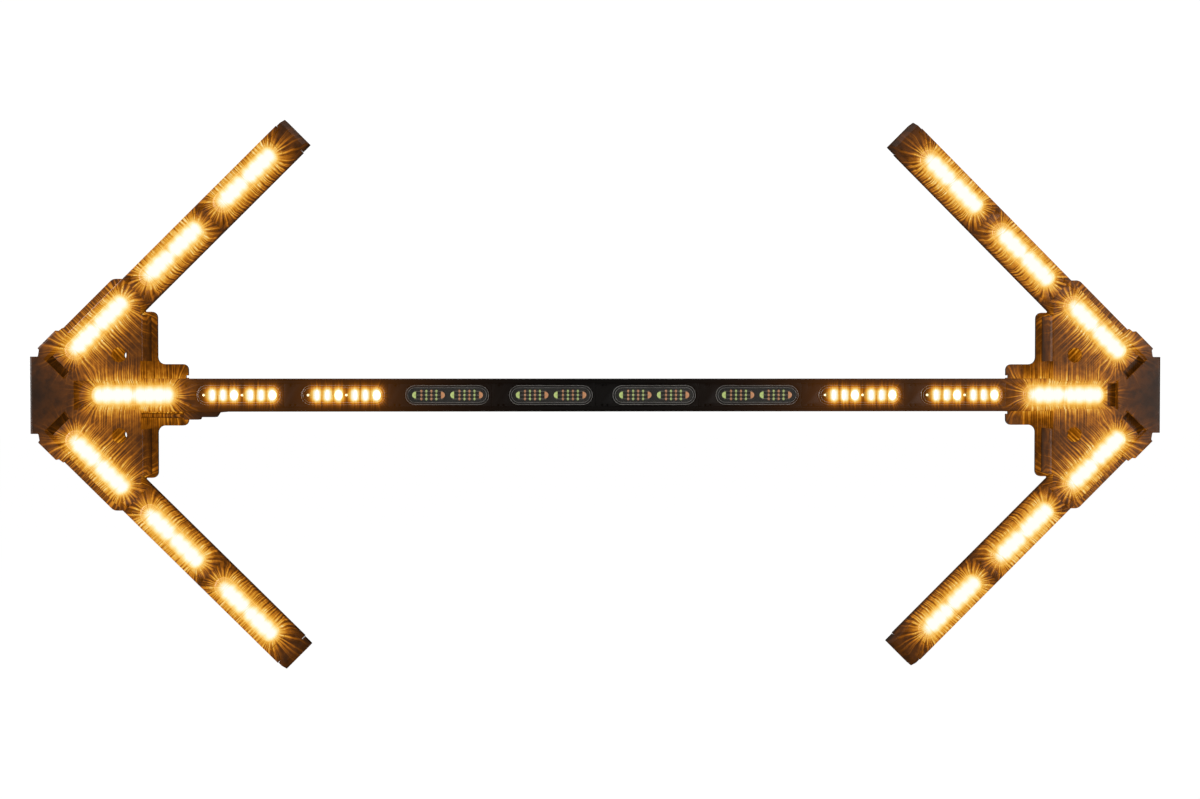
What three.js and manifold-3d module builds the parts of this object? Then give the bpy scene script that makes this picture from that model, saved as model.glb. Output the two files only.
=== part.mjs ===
// Double-headed LED arrow board: one long light stick with an arrow head of two short sticks at each end.
// Two hub plates join the sticks, and a folded cover closes each hub. The hub plates are bolted to a carrier.
// Millimetres. +X is to the right, +Z is up, and the lamps face -Y. The origin is the middle of the board.

import * as THREE from "three";
import { mergeVertices } from "three/addons/utils/BufferGeometryUtils.js";
import Module from "manifold-3d";

const wasm = await Module();
wasm.setup();

// ---------------------------------------------------------------- driving dimensions

const GAP = 0.3; // clearance between faces that touch

// Light sticks
const STICK_HEIGHT = 33;
const STICK_DEPTH = 27;
const BAR_MODULES = 10;
const ARM_MODULES = 3;
const MODULE_PITCH = 103.5;
const BAR_MARGIN = 5.3; // housing past the row of modules, at each end of the bar
const STICK_CLEARANCE = 2.4; // between the end of the bar and the arms beside it
const ARM_APART = 14.7; // how far the end of an arm stays from the other arm

// Extruded housing
const WALL = 2;
const LIP = 4.7; // front lip, across the stick
const LIP_THICKNESS = 1.8;
const BOARD_SHOULDER = 1.6; // ledge on each side that the circuit board rests on
const BACK_WALL = 1.8;
const SLOT_MOUTH = 6.6; // rear T-slot
const SLOT_WIDTH = 12;
const SLOT_LIP = 2;
const SLOT_DEPTH = 3.3;
const EDGE_RADIUS = 1.5;
const REAR_CHAMFER = 1;

// Lamp module and circuit board
const BEZEL_RECESS = 0.9; // bezel face below the front of the lips
const FLANGE_THICKNESS = 3.2;
const LENS_LENGTH = 83;
const LENS_HEIGHT = 19;
const LENS_SHIFT = 7.25; // lens centre from the middle of the module, away from its snap end
const LENS_RISE = 0.6; // lens crown above the bezel face
const LENS_MOAT = 1.5; // width of the shallow recess around the lens
const MOAT_DEPTH = 0.8;
const LENS_EDGE = 1.6; // the crown is smaller than the lens by this all round
const CROWN_STEP = 0.7;
const FIRST_LAMP_INSET = 11.1; // first bezel from the start of an arm housing
const FIRST_TRIM = 7.5; // cut off the snap end of the first module of an arm
const BOARD_THICKNESS = 1.6;

// End caps
const CAP_PLATE = 1.5;
const CAP_TONGUE = 4.5;
const TIP_LENGTH = 10.5;
const TIP_STEP = 1; // the tip is narrower than the housing by this on each side
const TIP_SLOPE = 5.5;
const TIP_CHAMFER = 7; // cut off each front corner of the tip
const TIP_EDGE = 1.5; // rounding along its front edges
const TIP_REAR_EDGE = 1;
const TIP_BLANK = 14.7; // blank front between the last lamp and the end of the housing

// Hub plate behind the sticks
const PLATE = 3;
const PLATE_ARM_MARGIN = 13.7; // plate past the outer side of an arm
const PLATE_REACH = 117.8; // from the apex to the wing edge
const TAB_REACH = 148.6; // from the apex to the end of the tab under the bar
const TAB_MARGIN = 14.6; // tab past the sides of the bar
const WING_STEP = 11.9; // wing corner beside the inner side of an arm
const SUPPORT_HEIGHT = 117.2; // upper edge of the plate, under an arm
const SUPPORT_LENGTH = 24;
const SUPPORT_RADIUS = 8;
const WING_RADIUS = 6.5;
const INNER_RADIUS = 7;
const TAB_RADIUS = 9.5;
const SMALL_RADIUS = 2; // other corners of the plate
const BOLT_SPACING = 80;
const BOLT_HOLE = 8;
const BOLT_SETBACK = 88; // from the apex
const NICK_START = 0.8; // relief nick in the tab, past the side of the bar
const NICK = 2.4;

// Folded cover in front of the sticks
const SHEET = 2;
const BEND_RADIUS = 3;
const APEX_HEIGHT = 76.6;
const APEX_SETBACK = 1.5; // the arm axes meet this far outside the apex
const COVER_REACH = 112; // from the apex to the wing side wall
const COVER_LAP = 2.2; // cover over the edge of a stick
const WINDOW_START = 3.5; // window end past the start of an arm housing
const FINGER_MARGIN = 10.4; // cover finger past the outer side of an arm
const FINGER_START = 39.6;
const FINGER_LENGTH = 31.8;
const FINGER_BEVEL = 7.4;
const WINDOW_LAP = 0.8; // cover over each end of the bar
const CORNER_RELIEF = 8.5;
const WING_WALL_LOW = 34;
const WING_WALL_HIGH = 80;
const ACCESS_HOLE = 15;
const LUG_REACH = 13; // lugs that the cover is screwed on by
const LUG_HEIGHT = 58; // lug on a wing wall, from the middle of the board
const LUG_WIDTH = 12;
const LUG_SCREW = 4;

// Clamp screw with its T-nut
const SCREW = 5;
const SCREW_HEAD = 9;
const SCREW_SINK = 2; // depth of the sunk head
const NUT_LENGTH = 16;
const CLAMP_SETBACK = 78; // bar clamp from the apex
const ARM_CLAMP = 96; // arm clamp along the arm

// Wiring
const LEAD = 5;
const BLOCK_LENGTH = 15;
const BLOCK_HEIGHT = 18;
const BLOCK_DEPTH = 14;
const BLOCK_SETBACK = 4; // from the apex
const LEAD_SWEEP = 18.8; // where the lead of an arm turns towards the block, along the arm
const LEAD_BEND = 12; // where the supply lead turns down past the inlet
const LEAD_RUN = 30; // and where it runs along under the bar
const LEAD_FRONT = -5; // how far forward it swings
const INLET_SETBACK = 71;
const INLET_DROP = 9.5; // inlet centre below the underside of the bar
const INLET_FRONT = 4; // depth of its inner end
const INLET_BODY = 12;
const INLET_FLANGE = 16;
const INLET_NECK = 9;
const INLET_BORE = 7;
const INLET_BASE = 3; // solid end in front of the bore
const INLET_FLANGE_THICKNESS = 2;
const SHOE_LENGTH = 43;
const SHOE_WIDTH = 9;
const SHOE_HEIGHT = 7.8;
const SHOE_STEP = 2.5; // the part past its entry is lower by this
const SHOE_ENTRY = 15; // its full-height part, where the lead goes in
const SHOE_RAMP = 16.5; // from its entry to where it slopes up to the bar
const SHOE_LIP = 0.8;
const SHOE_TAIL = 8.5;
const SHOE_DEPTH = -1; // middle of the shoe, from the middle of the board's depth

// ---------------------------------------------------------------- derived places

const HALF_STICK = STICK_HEIGHT / 2;
const DIAGONAL = Math.SQRT1_2; // the arms lie at 45 degrees

const BAR_LENGTH = BAR_MODULES * MODULE_PITCH + 2 * BAR_MARGIN;
const BAR_END = BAR_LENGTH / 2 + GAP + CAP_PLATE;
const ARM_CROSSING = BAR_END + STICK_CLEARANCE + HALF_STICK * (1 + Math.SQRT2);
const APEX = ARM_CROSSING - APEX_SETBACK;

const DEPTH = PLATE + GAP + STICK_DEPTH + GAP + SHEET;
const PLATE_BACK = DEPTH / 2;
const PLATE_FRONT = PLATE_BACK - PLATE;
const STICK_BACK = PLATE_FRONT - GAP;
const STICK_FRONT = STICK_BACK - STICK_DEPTH;
const COVER_FRONT = -DEPTH / 2;
const COVER_BACK = COVER_FRONT + SHEET;

const BEZEL_FACE = STICK_FRONT + BEZEL_RECESS;
const FLANGE_FRONT = STICK_FRONT + LIP_THICKNESS + GAP;
const FLANGE_BACK = FLANGE_FRONT + FLANGE_THICKNESS;
const BOARD_FRONT = FLANGE_BACK + GAP;
const BOARD_BACK = BOARD_FRONT + BOARD_THICKNESS;
const SHOULDER = BOARD_BACK + GAP;
const SLOT_TOP = STICK_BACK - SLOT_LIP - SLOT_DEPTH;
const CAVITY_BACK = SLOT_TOP - BACK_WALL;

const OPENING_HALF = HALF_STICK - LIP;
const CAVITY_HALF = HALF_STICK - WALL;
const LOWER_HALF = CAVITY_HALF - BOARD_SHOULDER;

const ARM_CAP = HALF_STICK + ARM_APART; // outer face of an arm's inner cap, along the arm
const ARM_START = ARM_CAP + CAP_PLATE + GAP;
const FIRST_LAMP = ARM_START + FIRST_LAMP_INSET;
const LAMPS_END = FIRST_LAMP - FIRST_TRIM + ARM_MODULES * MODULE_PITCH;
const ARM_END = LAMPS_END + TIP_BLANK;

// ---------------------------------------------------------------- solids

function solidOf(geometry) {
  const bare = geometry.clone();
  bare.deleteAttribute("normal");
  bare.deleteAttribute("uv");
  const merged = mergeVertices(bare, 1e-4);
  const vertProperties = new Float32Array(merged.attributes.position.array);
  const triVerts = new Uint32Array(merged.index.array);
  return new wasm.Manifold(new wasm.Mesh({ numProp: 3, vertProperties, triVerts }));
}

function geometryOf(solid) {
  const mesh = solid.getMesh();
  const geometry = new THREE.BufferGeometry();
  geometry.setAttribute("position", new THREE.BufferAttribute(new Float32Array(mesh.vertProperties), 3));
  geometry.setIndex(new THREE.BufferAttribute(new Uint32Array(mesh.triVerts), 1));
  const flat = geometry.toNonIndexed();
  flat.computeVertexNormals();
  return flat;
}

// A box from its two corners.
function block(x0, x1, y0, y1, z0, z1) {
  const box = new THREE.BoxGeometry(x1 - x0, y1 - y0, z1 - z0);
  box.translate((x0 + x1) / 2, (y0 + y1) / 2, (z0 + z1) / 2);
  return solidOf(box);
}

// Corner points as [a, b, radius]; a radius rounds that corner with an arc.
function roundedOutline(corners, steps = 5) {
  const points = [];
  corners.forEach(([a, b, radius = 0], i) => {
    const here = new THREE.Vector2(a, b);
    if (radius === 0) {
      points.push(here);
      return;
    }
    const before = corners[(i + corners.length - 1) % corners.length];
    const after = corners[(i + 1) % corners.length];
    const toBefore = new THREE.Vector2(before[0] - a, before[1] - b);
    const toAfter = new THREE.Vector2(after[0] - a, after[1] - b);
    const room = Math.min(toBefore.length(), toAfter.length()) * 0.49;
    toBefore.normalize();
    toAfter.normalize();
    const half = Math.acos(THREE.MathUtils.clamp(toBefore.dot(toAfter), -1, 1)) / 2;
    const tangent = Math.min(radius / Math.tan(half), room);
    const reach = tangent / Math.cos(half);
    const arc = tangent * Math.tan(half);
    const centre = toBefore.clone().add(toAfter).normalize().multiplyScalar(reach).add(here);
    const start = toBefore.clone().multiplyScalar(tangent).add(here).sub(centre);
    const end = toAfter.clone().multiplyScalar(tangent).add(here).sub(centre);
    const from = start.angle();
    let turn = end.angle() - from;
    if (turn > Math.PI) turn -= 2 * Math.PI;
    if (turn < -Math.PI) turn += 2 * Math.PI;
    for (let k = 0; k <= steps; k += 1) {
      const angle = from + (turn * k) / steps;
      points.push(new THREE.Vector2(centre.x + arc * Math.cos(angle), centre.y + arc * Math.sin(angle)));
    }
  });
  return points;
}

function circle(x, z, diameter, steps = 20) {
  const radius = diameter / 2;
  const points = [];
  for (let k = 0; k < steps; k += 1) {
    const angle = (2 * Math.PI * k) / steps;
    points.push(new THREE.Vector2(x + radius * Math.cos(angle), z + radius * Math.sin(angle)));
  }
  return points;
}

// A plate whose outline lies in X and Z, between two depths.
function plate(outline, y0, y1, holes = []) {
  const shape = new THREE.Shape(outline);
  holes.forEach((hole) => shape.holes.push(new THREE.Path(hole)));
  const geometry = new THREE.ExtrudeGeometry(shape, { depth: y1 - y0, bevelEnabled: false });
  geometry.rotateX(Math.PI / 2);
  geometry.translate(0, y1, 0);
  return solidOf(geometry);
}

// A bar whose section lies in Y and Z, between two places along X.
const ALONG_X = new THREE.Matrix4().makeBasis(
  new THREE.Vector3(0, 1, 0),
  new THREE.Vector3(0, 0, 1),
  new THREE.Vector3(1, 0, 0),
);

function bar(section, x0, x1) {
  const shape = new THREE.Shape(section.map(([y, z]) => new THREE.Vector2(y, z)));
  const geometry = new THREE.ExtrudeGeometry(shape, { depth: x1 - x0, bevelEnabled: false });
  geometry.applyMatrix4(ALONG_X);
  geometry.translate(x0, 0, 0);
  return solidOf(geometry);
}

// A piece whose outline lies in X and Y, between two heights.
function sideways(outline, z0, z1) {
  const shape = new THREE.Shape(outline);
  const geometry = new THREE.ExtrudeGeometry(shape, { depth: z1 - z0, bevelEnabled: false });
  geometry.translate(0, 0, z0);
  return solidOf(geometry);
}

// Both halves of a section that is the same above and below its middle.
function mirrored(half) {
  return [...half, ...half.map(([y, z]) => [y, -z]).reverse()];
}

// A turned piece about the Y axis; the profile is [radius, y] from one end of the axis to the other.
function turned(profile, x, z, steps = 20) {
  const points = profile.map(([radius, y]) => new THREE.Vector2(radius, y));
  const geometry = new THREE.LatheGeometry(points, steps);
  geometry.translate(x, 0, z);
  return solidOf(geometry);
}

// A round lead along a path.
function lead(path, steps) {
  const section = new THREE.Shape(circle(0, 0, LEAD, 10));
  return solidOf(new THREE.ExtrudeGeometry(section, { extrudePath: path, steps, bevelEnabled: false }));
}

// ---------------------------------------------------------------- materials and the scene graph

function finish(color, roughness, metalness) {
  return () => new THREE.MeshStandardMaterial({ color, roughness, metalness });
}

const anodised = finish(0x17181a, 0.42, 0.9);
const powderCoat = finish(0x242122, 0.5, 0.4);
const clearLens = finish(0xb9b6a6, 0.15, 0);
const litLens = finish(0xffb03a, 0.2, 0);
const mouldedBlack = finish(0x1b1a1a, 0.6, 0);
const circuitBoard = finish(0x141312, 0.55, 0);
const leadRubber = finish(0x111111, 0.75, 0);
const zincSteel = finish(0xb7b4aa, 0.35, 0.9);

const board = new THREE.Group();
board.name = "arrow_board";

function add(group, name, solid, material) {
  const mesh = new THREE.Mesh(geometryOf(solid), material());
  mesh.name = name;
  group.add(mesh);
}

// ---------------------------------------------------------------- pieces of a light stick

function housing(x0, x1) {
  const edge = [];
  for (let k = 0; k <= 3; k += 1) {
    const angle = (Math.PI / 2) * (k / 3);
    const z = HALF_STICK - EDGE_RADIUS * (1 - Math.sin(angle));
    edge.push([STICK_FRONT + EDGE_RADIUS * (1 - Math.cos(angle)), z]);
  }
  const half = [
    [STICK_FRONT, OPENING_HALF],
    ...edge,
    [STICK_BACK - REAR_CHAMFER, HALF_STICK],
    [STICK_BACK, HALF_STICK - REAR_CHAMFER],
    [STICK_BACK, SLOT_MOUTH / 2],
    [STICK_BACK - SLOT_LIP, SLOT_MOUTH / 2],
    [STICK_BACK - SLOT_LIP, SLOT_WIDTH / 2],
    [SLOT_TOP, SLOT_WIDTH / 2],
  ];
  const inner = [
    [STICK_FRONT + LIP_THICKNESS, OPENING_HALF],
    [STICK_FRONT + LIP_THICKNESS, CAVITY_HALF],
    [SHOULDER, CAVITY_HALF],
    [SHOULDER, LOWER_HALF],
    [CAVITY_BACK, LOWER_HALF],
  ];
  return bar([...mirrored(half), ...mirrored(inner.map(([y, z]) => [y, -z]))], x0, x1);
}

function stadium(length, height, centre, grow = 0) {
  const radius = height / 2 + grow;
  const reach = length / 2 - height / 2;
  const points = [];
  const steps = 8;
  for (const side of [1, -1]) {
    for (let k = 0; k <= steps; k += 1) {
      const angle = -Math.PI / 2 + (Math.PI * k) / steps;
      const x = centre + side * (reach + radius * Math.cos(angle));
      points.push(new THREE.Vector2(x, side * radius * Math.sin(angle)));
    }
  }
  return points;
}

// One lamp module: a bezel that shows between the lips, a flange behind them, and its lens.
function lampModule(x0, x1, lensCentre) {
  const front = OPENING_HALF - GAP;
  const wide = CAVITY_HALF - GAP;
  const ends = GAP / 2;
  const bezel = block(x0 + ends, x1 - ends, BEZEL_FACE, FLANGE_BACK, -front, front);
  const flange = block(x0 + ends, x1 - ends, FLANGE_FRONT, FLANGE_BACK, -wide, wide);
  const moatLine = stadium(LENS_LENGTH, LENS_HEIGHT, lensCentre, LENS_MOAT);
  const floor = BEZEL_FACE + MOAT_DEPTH;
  const moat = plate(moatLine, BEZEL_FACE - 1, floor);
  const crown = BEZEL_FACE - LENS_RISE;
  const body = plate(stadium(LENS_LENGTH, LENS_HEIGHT, lensCentre), crown + CROWN_STEP, floor + 1);
  const dome = plate(stadium(LENS_LENGTH, LENS_HEIGHT, lensCentre, -LENS_EDGE), crown, crown + LENS_EDGE);
  return bezel.add(flange).subtract(moat).add(body).add(dome);
}

function circuit(x0, x1) {
  const wide = CAVITY_HALF - GAP;
  return block(x0, x1, BOARD_FRONT, BOARD_BACK, -wide, wide);
}

// A thin cap: a plate over the end of the housing and a tongue behind the circuit board.
function plainCap(end, direction) {
  const outer = end + direction * CAP_PLATE;
  const inner = end - direction * (CAP_TONGUE + GAP);
  const half = LOWER_HALF - GAP;
  const [x0, x1] = [end, outer].sort((a, b) => a - b);
  const [x2, x3] = [end, inner].sort((a, b) => a - b);
  const cover = block(x0, x1, STICK_FRONT, STICK_BACK, -HALF_STICK, HALF_STICK);
  return cover.add(block(x2, x3, SHOULDER + GAP, CAVITY_BACK - GAP, -half, half));
}

// The tip of an arm: a blank that fills the opening, and a head whose front slopes off at its end.
function tipCap(lampsEnd, end) {
  const front = OPENING_HALF - GAP;
  const wide = CAVITY_HALF - GAP;
  const low = LOWER_HALF - GAP;
  const half = [
    [BEZEL_FACE, front],
    [FLANGE_FRONT, front],
    [FLANGE_FRONT, wide],
    [SHOULDER - GAP, wide],
    [SHOULDER - GAP, low],
    [CAVITY_BACK - GAP, low],
  ];
  const x0 = end + GAP;
  const x1 = end + TIP_LENGTH;
  const blank = bar(mirrored(half), lampsEnd + GAP, x0 + 1);
  const head = HALF_STICK - TIP_STEP;
  const face = STICK_FRONT + GAP;
  const profile = [
    [x0, face],
    [x1 - TIP_SLOPE, face, TIP_EDGE],
    [x1, face + TIP_SLOPE, TIP_EDGE],
    [x1, STICK_BACK - GAP, TIP_REAR_EDGE],
    [x0, STICK_BACK - GAP],
  ];
  const tip = blank.add(sideways(roundedOutline(profile, 3), -head, head));
  return tip.subtract(tipCorner(x1, face, head, 1)).subtract(tipCorner(x1, face, head, -1));
}

// What is cut off a front corner of a tip: a wedge that meets its end, its side and its front.
function tipCorner(end, face, head, side) {
  const past = TIP_CHAMFER;
  const points = [
    [end - 2 * TIP_CHAMFER, face - past, side * (head + past)],
    [end + past, face - past, side * (head - 2 * TIP_CHAMFER)],
    [end + past, face - past, side * (head + past)],
    [end + past, face + 2 * TIP_CHAMFER, side * (head + past)],
  ];
  return wasm.Manifold.hull(points);
}

// ---------------------------------------------------------------- pieces of a hub

// A place on the upper right arm: along it from the crossing, and out from its axis.
function onArm(along, out) {
  return [ARM_CROSSING + (out - along) * DIAGONAL, (along + out) * DIAGONAL];
}

// The upper half of an outline, from the apex round to the tab, joined to its mirror image below.
function bothHalves(corners) {
  return [...corners, ...corners.map(([x, z, radius]) => [x, -z, radius]).reverse()];
}

function hubPlate(inlet) {
  const outer = HALF_STICK + PLATE_ARM_MARGIN;
  const diagonalSum = ARM_CROSSING + outer * Math.SQRT2;
  const innerSum = ARM_CROSSING - HALF_STICK * Math.SQRT2;
  const wing = APEX - PLATE_REACH;
  const wingTop = innerSum - wing - WING_STEP;
  const tab = APEX - TAB_REACH;
  const tabHalf = HALF_STICK + TAB_MARGIN;
  const apexHalf = APEX_HEIGHT / 2;
  const nick = HALF_STICK + NICK_START;
  const corners = [
    [APEX, apexHalf, SMALL_RADIUS],
    [diagonalSum - apexHalf - CORNER_RELIEF, apexHalf + CORNER_RELIEF, SMALL_RADIUS],
    [diagonalSum - SUPPORT_HEIGHT, SUPPORT_HEIGHT, SUPPORT_RADIUS],
    [diagonalSum - SUPPORT_HEIGHT - SUPPORT_LENGTH, SUPPORT_HEIGHT, SMALL_RADIUS],
    [wing + WING_STEP, wingTop],
    [wing, wingTop, WING_RADIUS],
    [wing, tabHalf, INNER_RADIUS],
    [tab, tabHalf, TAB_RADIUS],
    [tab, nick + NICK],
    [tab + NICK, nick + NICK],
    [tab + NICK, nick],
    [tab, nick],
  ];
  const holes = boltPlaces().map(([x, z]) => circle(x, z, BOLT_HOLE));
  lugPlaces().forEach(([x, z]) => holes.push(circle(x, z, LUG_SCREW, 12)));
  if (inlet) {
    holes.push(circle(...inletPlace(), INLET_BODY + 2 * GAP));
  }
  const body = plate(roundedOutline(bothHalves(corners)), PLATE_FRONT, PLATE_BACK, holes);
  return clampPlaces().reduce((rest, [x, z]) => rest.subtract(countersink(x, z)), body);
}

function boltPlaces() {
  return [1, -1].map((side) => [APEX - BOLT_SETBACK, (side * BOLT_SPACING) / 2]);
}

function clampPlaces() {
  const [x, z] = onArm(ARM_CLAMP, 0);
  return [[APEX - CLAMP_SETBACK, 0], [x, z], [x, -z]];
}

// Where the cover's lugs are screwed to the plate.
function lugPlaces() {
  const wing = APEX - COVER_REACH + LUG_REACH / 2;
  return [[APEX - LUG_REACH / 2, 0], [wing, LUG_HEIGHT], [wing, -LUG_HEIGHT]];
}

function inletPlace() {
  return [APEX - INLET_SETBACK, HALF_STICK + INLET_DROP];
}

// The hole for a clamp screw, with room for its sunk head.
function countersink(x, z) {
  const shank = SCREW / 2 + GAP;
  const head = SCREW_HEAD / 2 + 2 * GAP;
  return turned([
    [0, PLATE_FRONT - 1],
    [shank, PLATE_FRONT - 1],
    [shank, PLATE_BACK - SCREW_SINK - GAP],
    [head, PLATE_BACK],
    [head, PLATE_BACK + 1],
    [0, PLATE_BACK + 1],
  ], x, z);
}

// An edge of the cover that is folded back towards the plate. It faces the way that `angle` turns +X to.
function foldedEdge([x, z], angle, length) {
  const inner = BEND_RADIUS - SHEET;
  const profile = [];
  for (let k = 0; k <= 4; k += 1) {
    const turn = (Math.PI / 2) * (k / 4);
    profile.push([-BEND_RADIUS * (1 - Math.sin(turn)), COVER_FRONT + BEND_RADIUS * (1 - Math.cos(turn))]);
  }
  profile.push([0, STICK_BACK], [-SHEET, STICK_BACK]);
  for (let k = 3; k >= 0; k -= 1) {
    const turn = (Math.PI / 2) * (k / 3);
    profile.push([-BEND_RADIUS + inner * Math.sin(turn), COVER_FRONT + BEND_RADIUS - inner * Math.cos(turn)]);
  }
  profile.push([-BEND_RADIUS - 1, COVER_BACK], [-BEND_RADIUS - 1, COVER_FRONT]);
  const shape = new THREE.Shape(profile.map(([out, y]) => new THREE.Vector2(out, y)));
  const geometry = new THREE.ExtrudeGeometry(shape, { depth: length, bevelEnabled: false });
  geometry.translate(0, 0, -length / 2);
  geometry.rotateY(angle);
  geometry.translate(x, 0, z);
  return solidOf(geometry);
}

function hubCover() {
  const window = HALF_STICK - COVER_LAP;
  const windowStart = ARM_START + WINDOW_START;
  const barWindow = BAR_LENGTH / 2 - WINDOW_LAP;
  const wing = APEX - COVER_REACH + BEND_RADIUS;
  const outer = HALF_STICK + FINGER_MARGIN;
  const fingerEnd = FINGER_START + FINGER_LENGTH;
  const foldEnd = fingerEnd - FINGER_BEVEL;
  const corners = [
    [APEX - BEND_RADIUS, APEX_HEIGHT / 2],
    [APEX - CORNER_RELIEF, APEX_HEIGHT / 2, 1],
    onArm(FINGER_START, outer - BEND_RADIUS),
    onArm(foldEnd, outer - BEND_RADIUS),
    onArm(fingerEnd, outer - BEND_RADIUS - 1),
    onArm(fingerEnd, window),
    onArm(windowStart, window),
    onArm(windowStart, -window),
    [wing, ARM_CROSSING - window * Math.SQRT2 - wing],
    [wing, window],
    [barWindow, window],
  ];
  const holes = boltPlaces().map(([x, z]) => circle(x, z, ACCESS_HOLE, 24));
  let cover = plate(roundedOutline(bothHalves(corners)), COVER_FRONT, COVER_BACK, holes);
  cover = cover.add(foldedEdge([APEX, 0], 0, APEX_HEIGHT));
  const wallMiddle = (WING_WALL_LOW + WING_WALL_HIGH) / 2;
  const wallLength = WING_WALL_HIGH - WING_WALL_LOW;
  for (const side of [1, -1]) {
    const [x, z] = onArm((FINGER_START + foldEnd) / 2, outer);
    cover = cover.add(foldedEdge([x, side * z], (-side * Math.PI) / 4, foldEnd - FINGER_START));
    cover = cover.add(foldedEdge([APEX - COVER_REACH, side * wallMiddle], Math.PI, wallLength));
  }
  const reach = LUG_REACH / 2;
  const half = LUG_WIDTH / 2;
  const lugFront = STICK_BACK - SHEET;
  lugPlaces().forEach(([x, z]) => {
    const lug = block(x - reach, x + reach, lugFront, STICK_BACK, z - half, z + half);
    const hole = turned(pinProfile(LUG_SCREW, lugFront - 1, STICK_BACK + 1), x, z, 12);
    cover = cover.add(lug).subtract(hole);
  });
  return cover;
}

function pinProfile(diameter, y0, y1) {
  return [[0, y0], [diameter / 2, y0], [diameter / 2, y1], [0, y1]];
}

// The screw through the hub plate and the T-nut that it pulls against the lips of the rear slot.
function clamp(x) {
  const screw = turned([
    [0, SLOT_TOP + GAP],
    [SCREW / 2, SLOT_TOP + GAP],
    [SCREW / 2, PLATE_BACK - SCREW_SINK - GAP],
    [SCREW_HEAD / 2, PLATE_BACK - GAP],
    [0, PLATE_BACK - GAP],
  ], x, 0, 16);
  const half = SLOT_WIDTH / 2 - GAP;
  const y0 = SLOT_TOP + GAP;
  const y1 = STICK_BACK - SLOT_LIP - GAP;
  return screw.add(block(x - NUT_LENGTH / 2, x + NUT_LENGTH / 2, y0, y1, -half, half));
}

// ---------------------------------------------------------------- wiring

function line(from, to) {
  return new THREE.LineCurve3(new THREE.Vector3(...from), new THREE.Vector3(...to));
}

// The splice block in the nose of a hub, with a lead to the bar and one to each arm.
function hubLoom() {
  const x1 = APEX - BLOCK_SETBACK;
  const x0 = x1 - BLOCK_LENGTH;
  const middle = (x0 + x1) / 2;
  const half = BLOCK_HEIGHT / 2;
  let loom = block(x0, x1, -BLOCK_DEPTH / 2, BLOCK_DEPTH / 2, -half, half);
  loom = loom.add(lead(line([BAR_END + GAP, 0, 0], [x0 + 2, 0, 0]), 1));
  for (const side of [1, -1]) {
    const [capX, capZ] = onArm(ARM_CAP - GAP, 0);
    const [bendX, bendZ] = onArm(LEAD_SWEEP, 0);
    const path = new THREE.QuadraticBezierCurve3(
      new THREE.Vector3(capX, 0, side * capZ),
      new THREE.Vector3(bendX, 0, side * bendZ),
      new THREE.Vector3(middle, 0, side * (half - 2)),
    );
    loom = loom.add(lead(path, 6));
  }
  return loom;
}

// The socket in the left hub plate that the supply plugs into from behind.
function powerInlet(x, z) {
  const flange = PLATE_FRONT - GAP;
  return turned([
    [0, INLET_FRONT],
    [INLET_NECK / 2, INLET_FRONT],
    [INLET_NECK / 2, flange - INLET_FLANGE_THICKNESS],
    [INLET_FLANGE / 2, flange - INLET_FLANGE_THICKNESS],
    [INLET_FLANGE / 2, flange],
    [INLET_BODY / 2, flange],
    [INLET_BODY / 2, PLATE_BACK - GAP],
    [INLET_BORE / 2, PLATE_BACK - GAP],
    [INLET_BORE / 2, INLET_FRONT + INLET_BASE],
    [0, INLET_FRONT + INLET_BASE],
  ], x, z, 24);
}

// The lead from the inlet along the underside of the bar to the shoe where it enters the bar.
function supplyLead(inletX, inletZ, shoeX) {
  const run = -HALF_STICK - SHOE_HEIGHT / 2 - GAP;
  const points = [
    [inletX, INLET_FRONT - GAP, inletZ],
    [inletX, INLET_FRONT - 2, inletZ],
    [inletX + LEAD / 2, LEAD_FRONT + 2, inletZ + 1],
    [inletX + LEAD_BEND, LEAD_FRONT, (inletZ + run) / 2],
    [inletX + LEAD_RUN, SHOE_DEPTH, run],
    [shoeX - LEAD_BEND, SHOE_DEPTH, run],
    [shoeX - GAP, SHOE_DEPTH, run],
  ];
  return lead(new THREE.CatmullRomCurve3(points.map((point) => new THREE.Vector3(...point))), 26);
}

function feedShoe(x) {
  const top = -HALF_STICK - GAP;
  const outline = [
    [x, top],
    [x, top - SHOE_HEIGHT, 1],
    [x + SHOE_ENTRY, top - SHOE_HEIGHT, 1],
    [x + SHOE_ENTRY + 1, top - SHOE_HEIGHT + SHOE_STEP],
    [x + SHOE_ENTRY + SHOE_RAMP, top - SHOE_HEIGHT + SHOE_STEP, 1],
    [x + SHOE_LENGTH - SHOE_TAIL, top - SHOE_LIP],
    [x + SHOE_LENGTH, top],
  ];
  return plate(roundedOutline(outline, 3), SHOE_DEPTH - SHOE_WIDTH / 2, SHOE_DEPTH + SHOE_WIDTH / 2);
}

// ---------------------------------------------------------------- the bar

const LIT_FROM_HUB = 3; // lamps at each end of the bar that are lit with the arrow heads
const barEnd = BAR_LENGTH / 2;

add(board, "bar_housing", housing(-barEnd, barEnd), anodised);
add(board, "bar_circuit_board", circuit(-barEnd + 1, barEnd - 1), circuitBoard);
add(board, "bar_end_cap_left", plainCap(-barEnd - GAP, -1), mouldedBlack);
add(board, "bar_end_cap_right", plainCap(barEnd + GAP, 1), mouldedBlack);

for (let k = 0; k < BAR_MODULES; k += 1) {
  const start = -barEnd + k * MODULE_PITCH;
  const lit = k < LIT_FROM_HUB || k >= BAR_MODULES - LIT_FROM_HUB;
  const solid = lampModule(start, start + MODULE_PITCH, start + MODULE_PITCH / 2 + LENS_SHIFT);
  add(board, `bar_module_${String(k + 1).padStart(2, "0")}`, solid, lit ? litLens : clearLens);
}

// ---------------------------------------------------------------- the four arms

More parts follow.
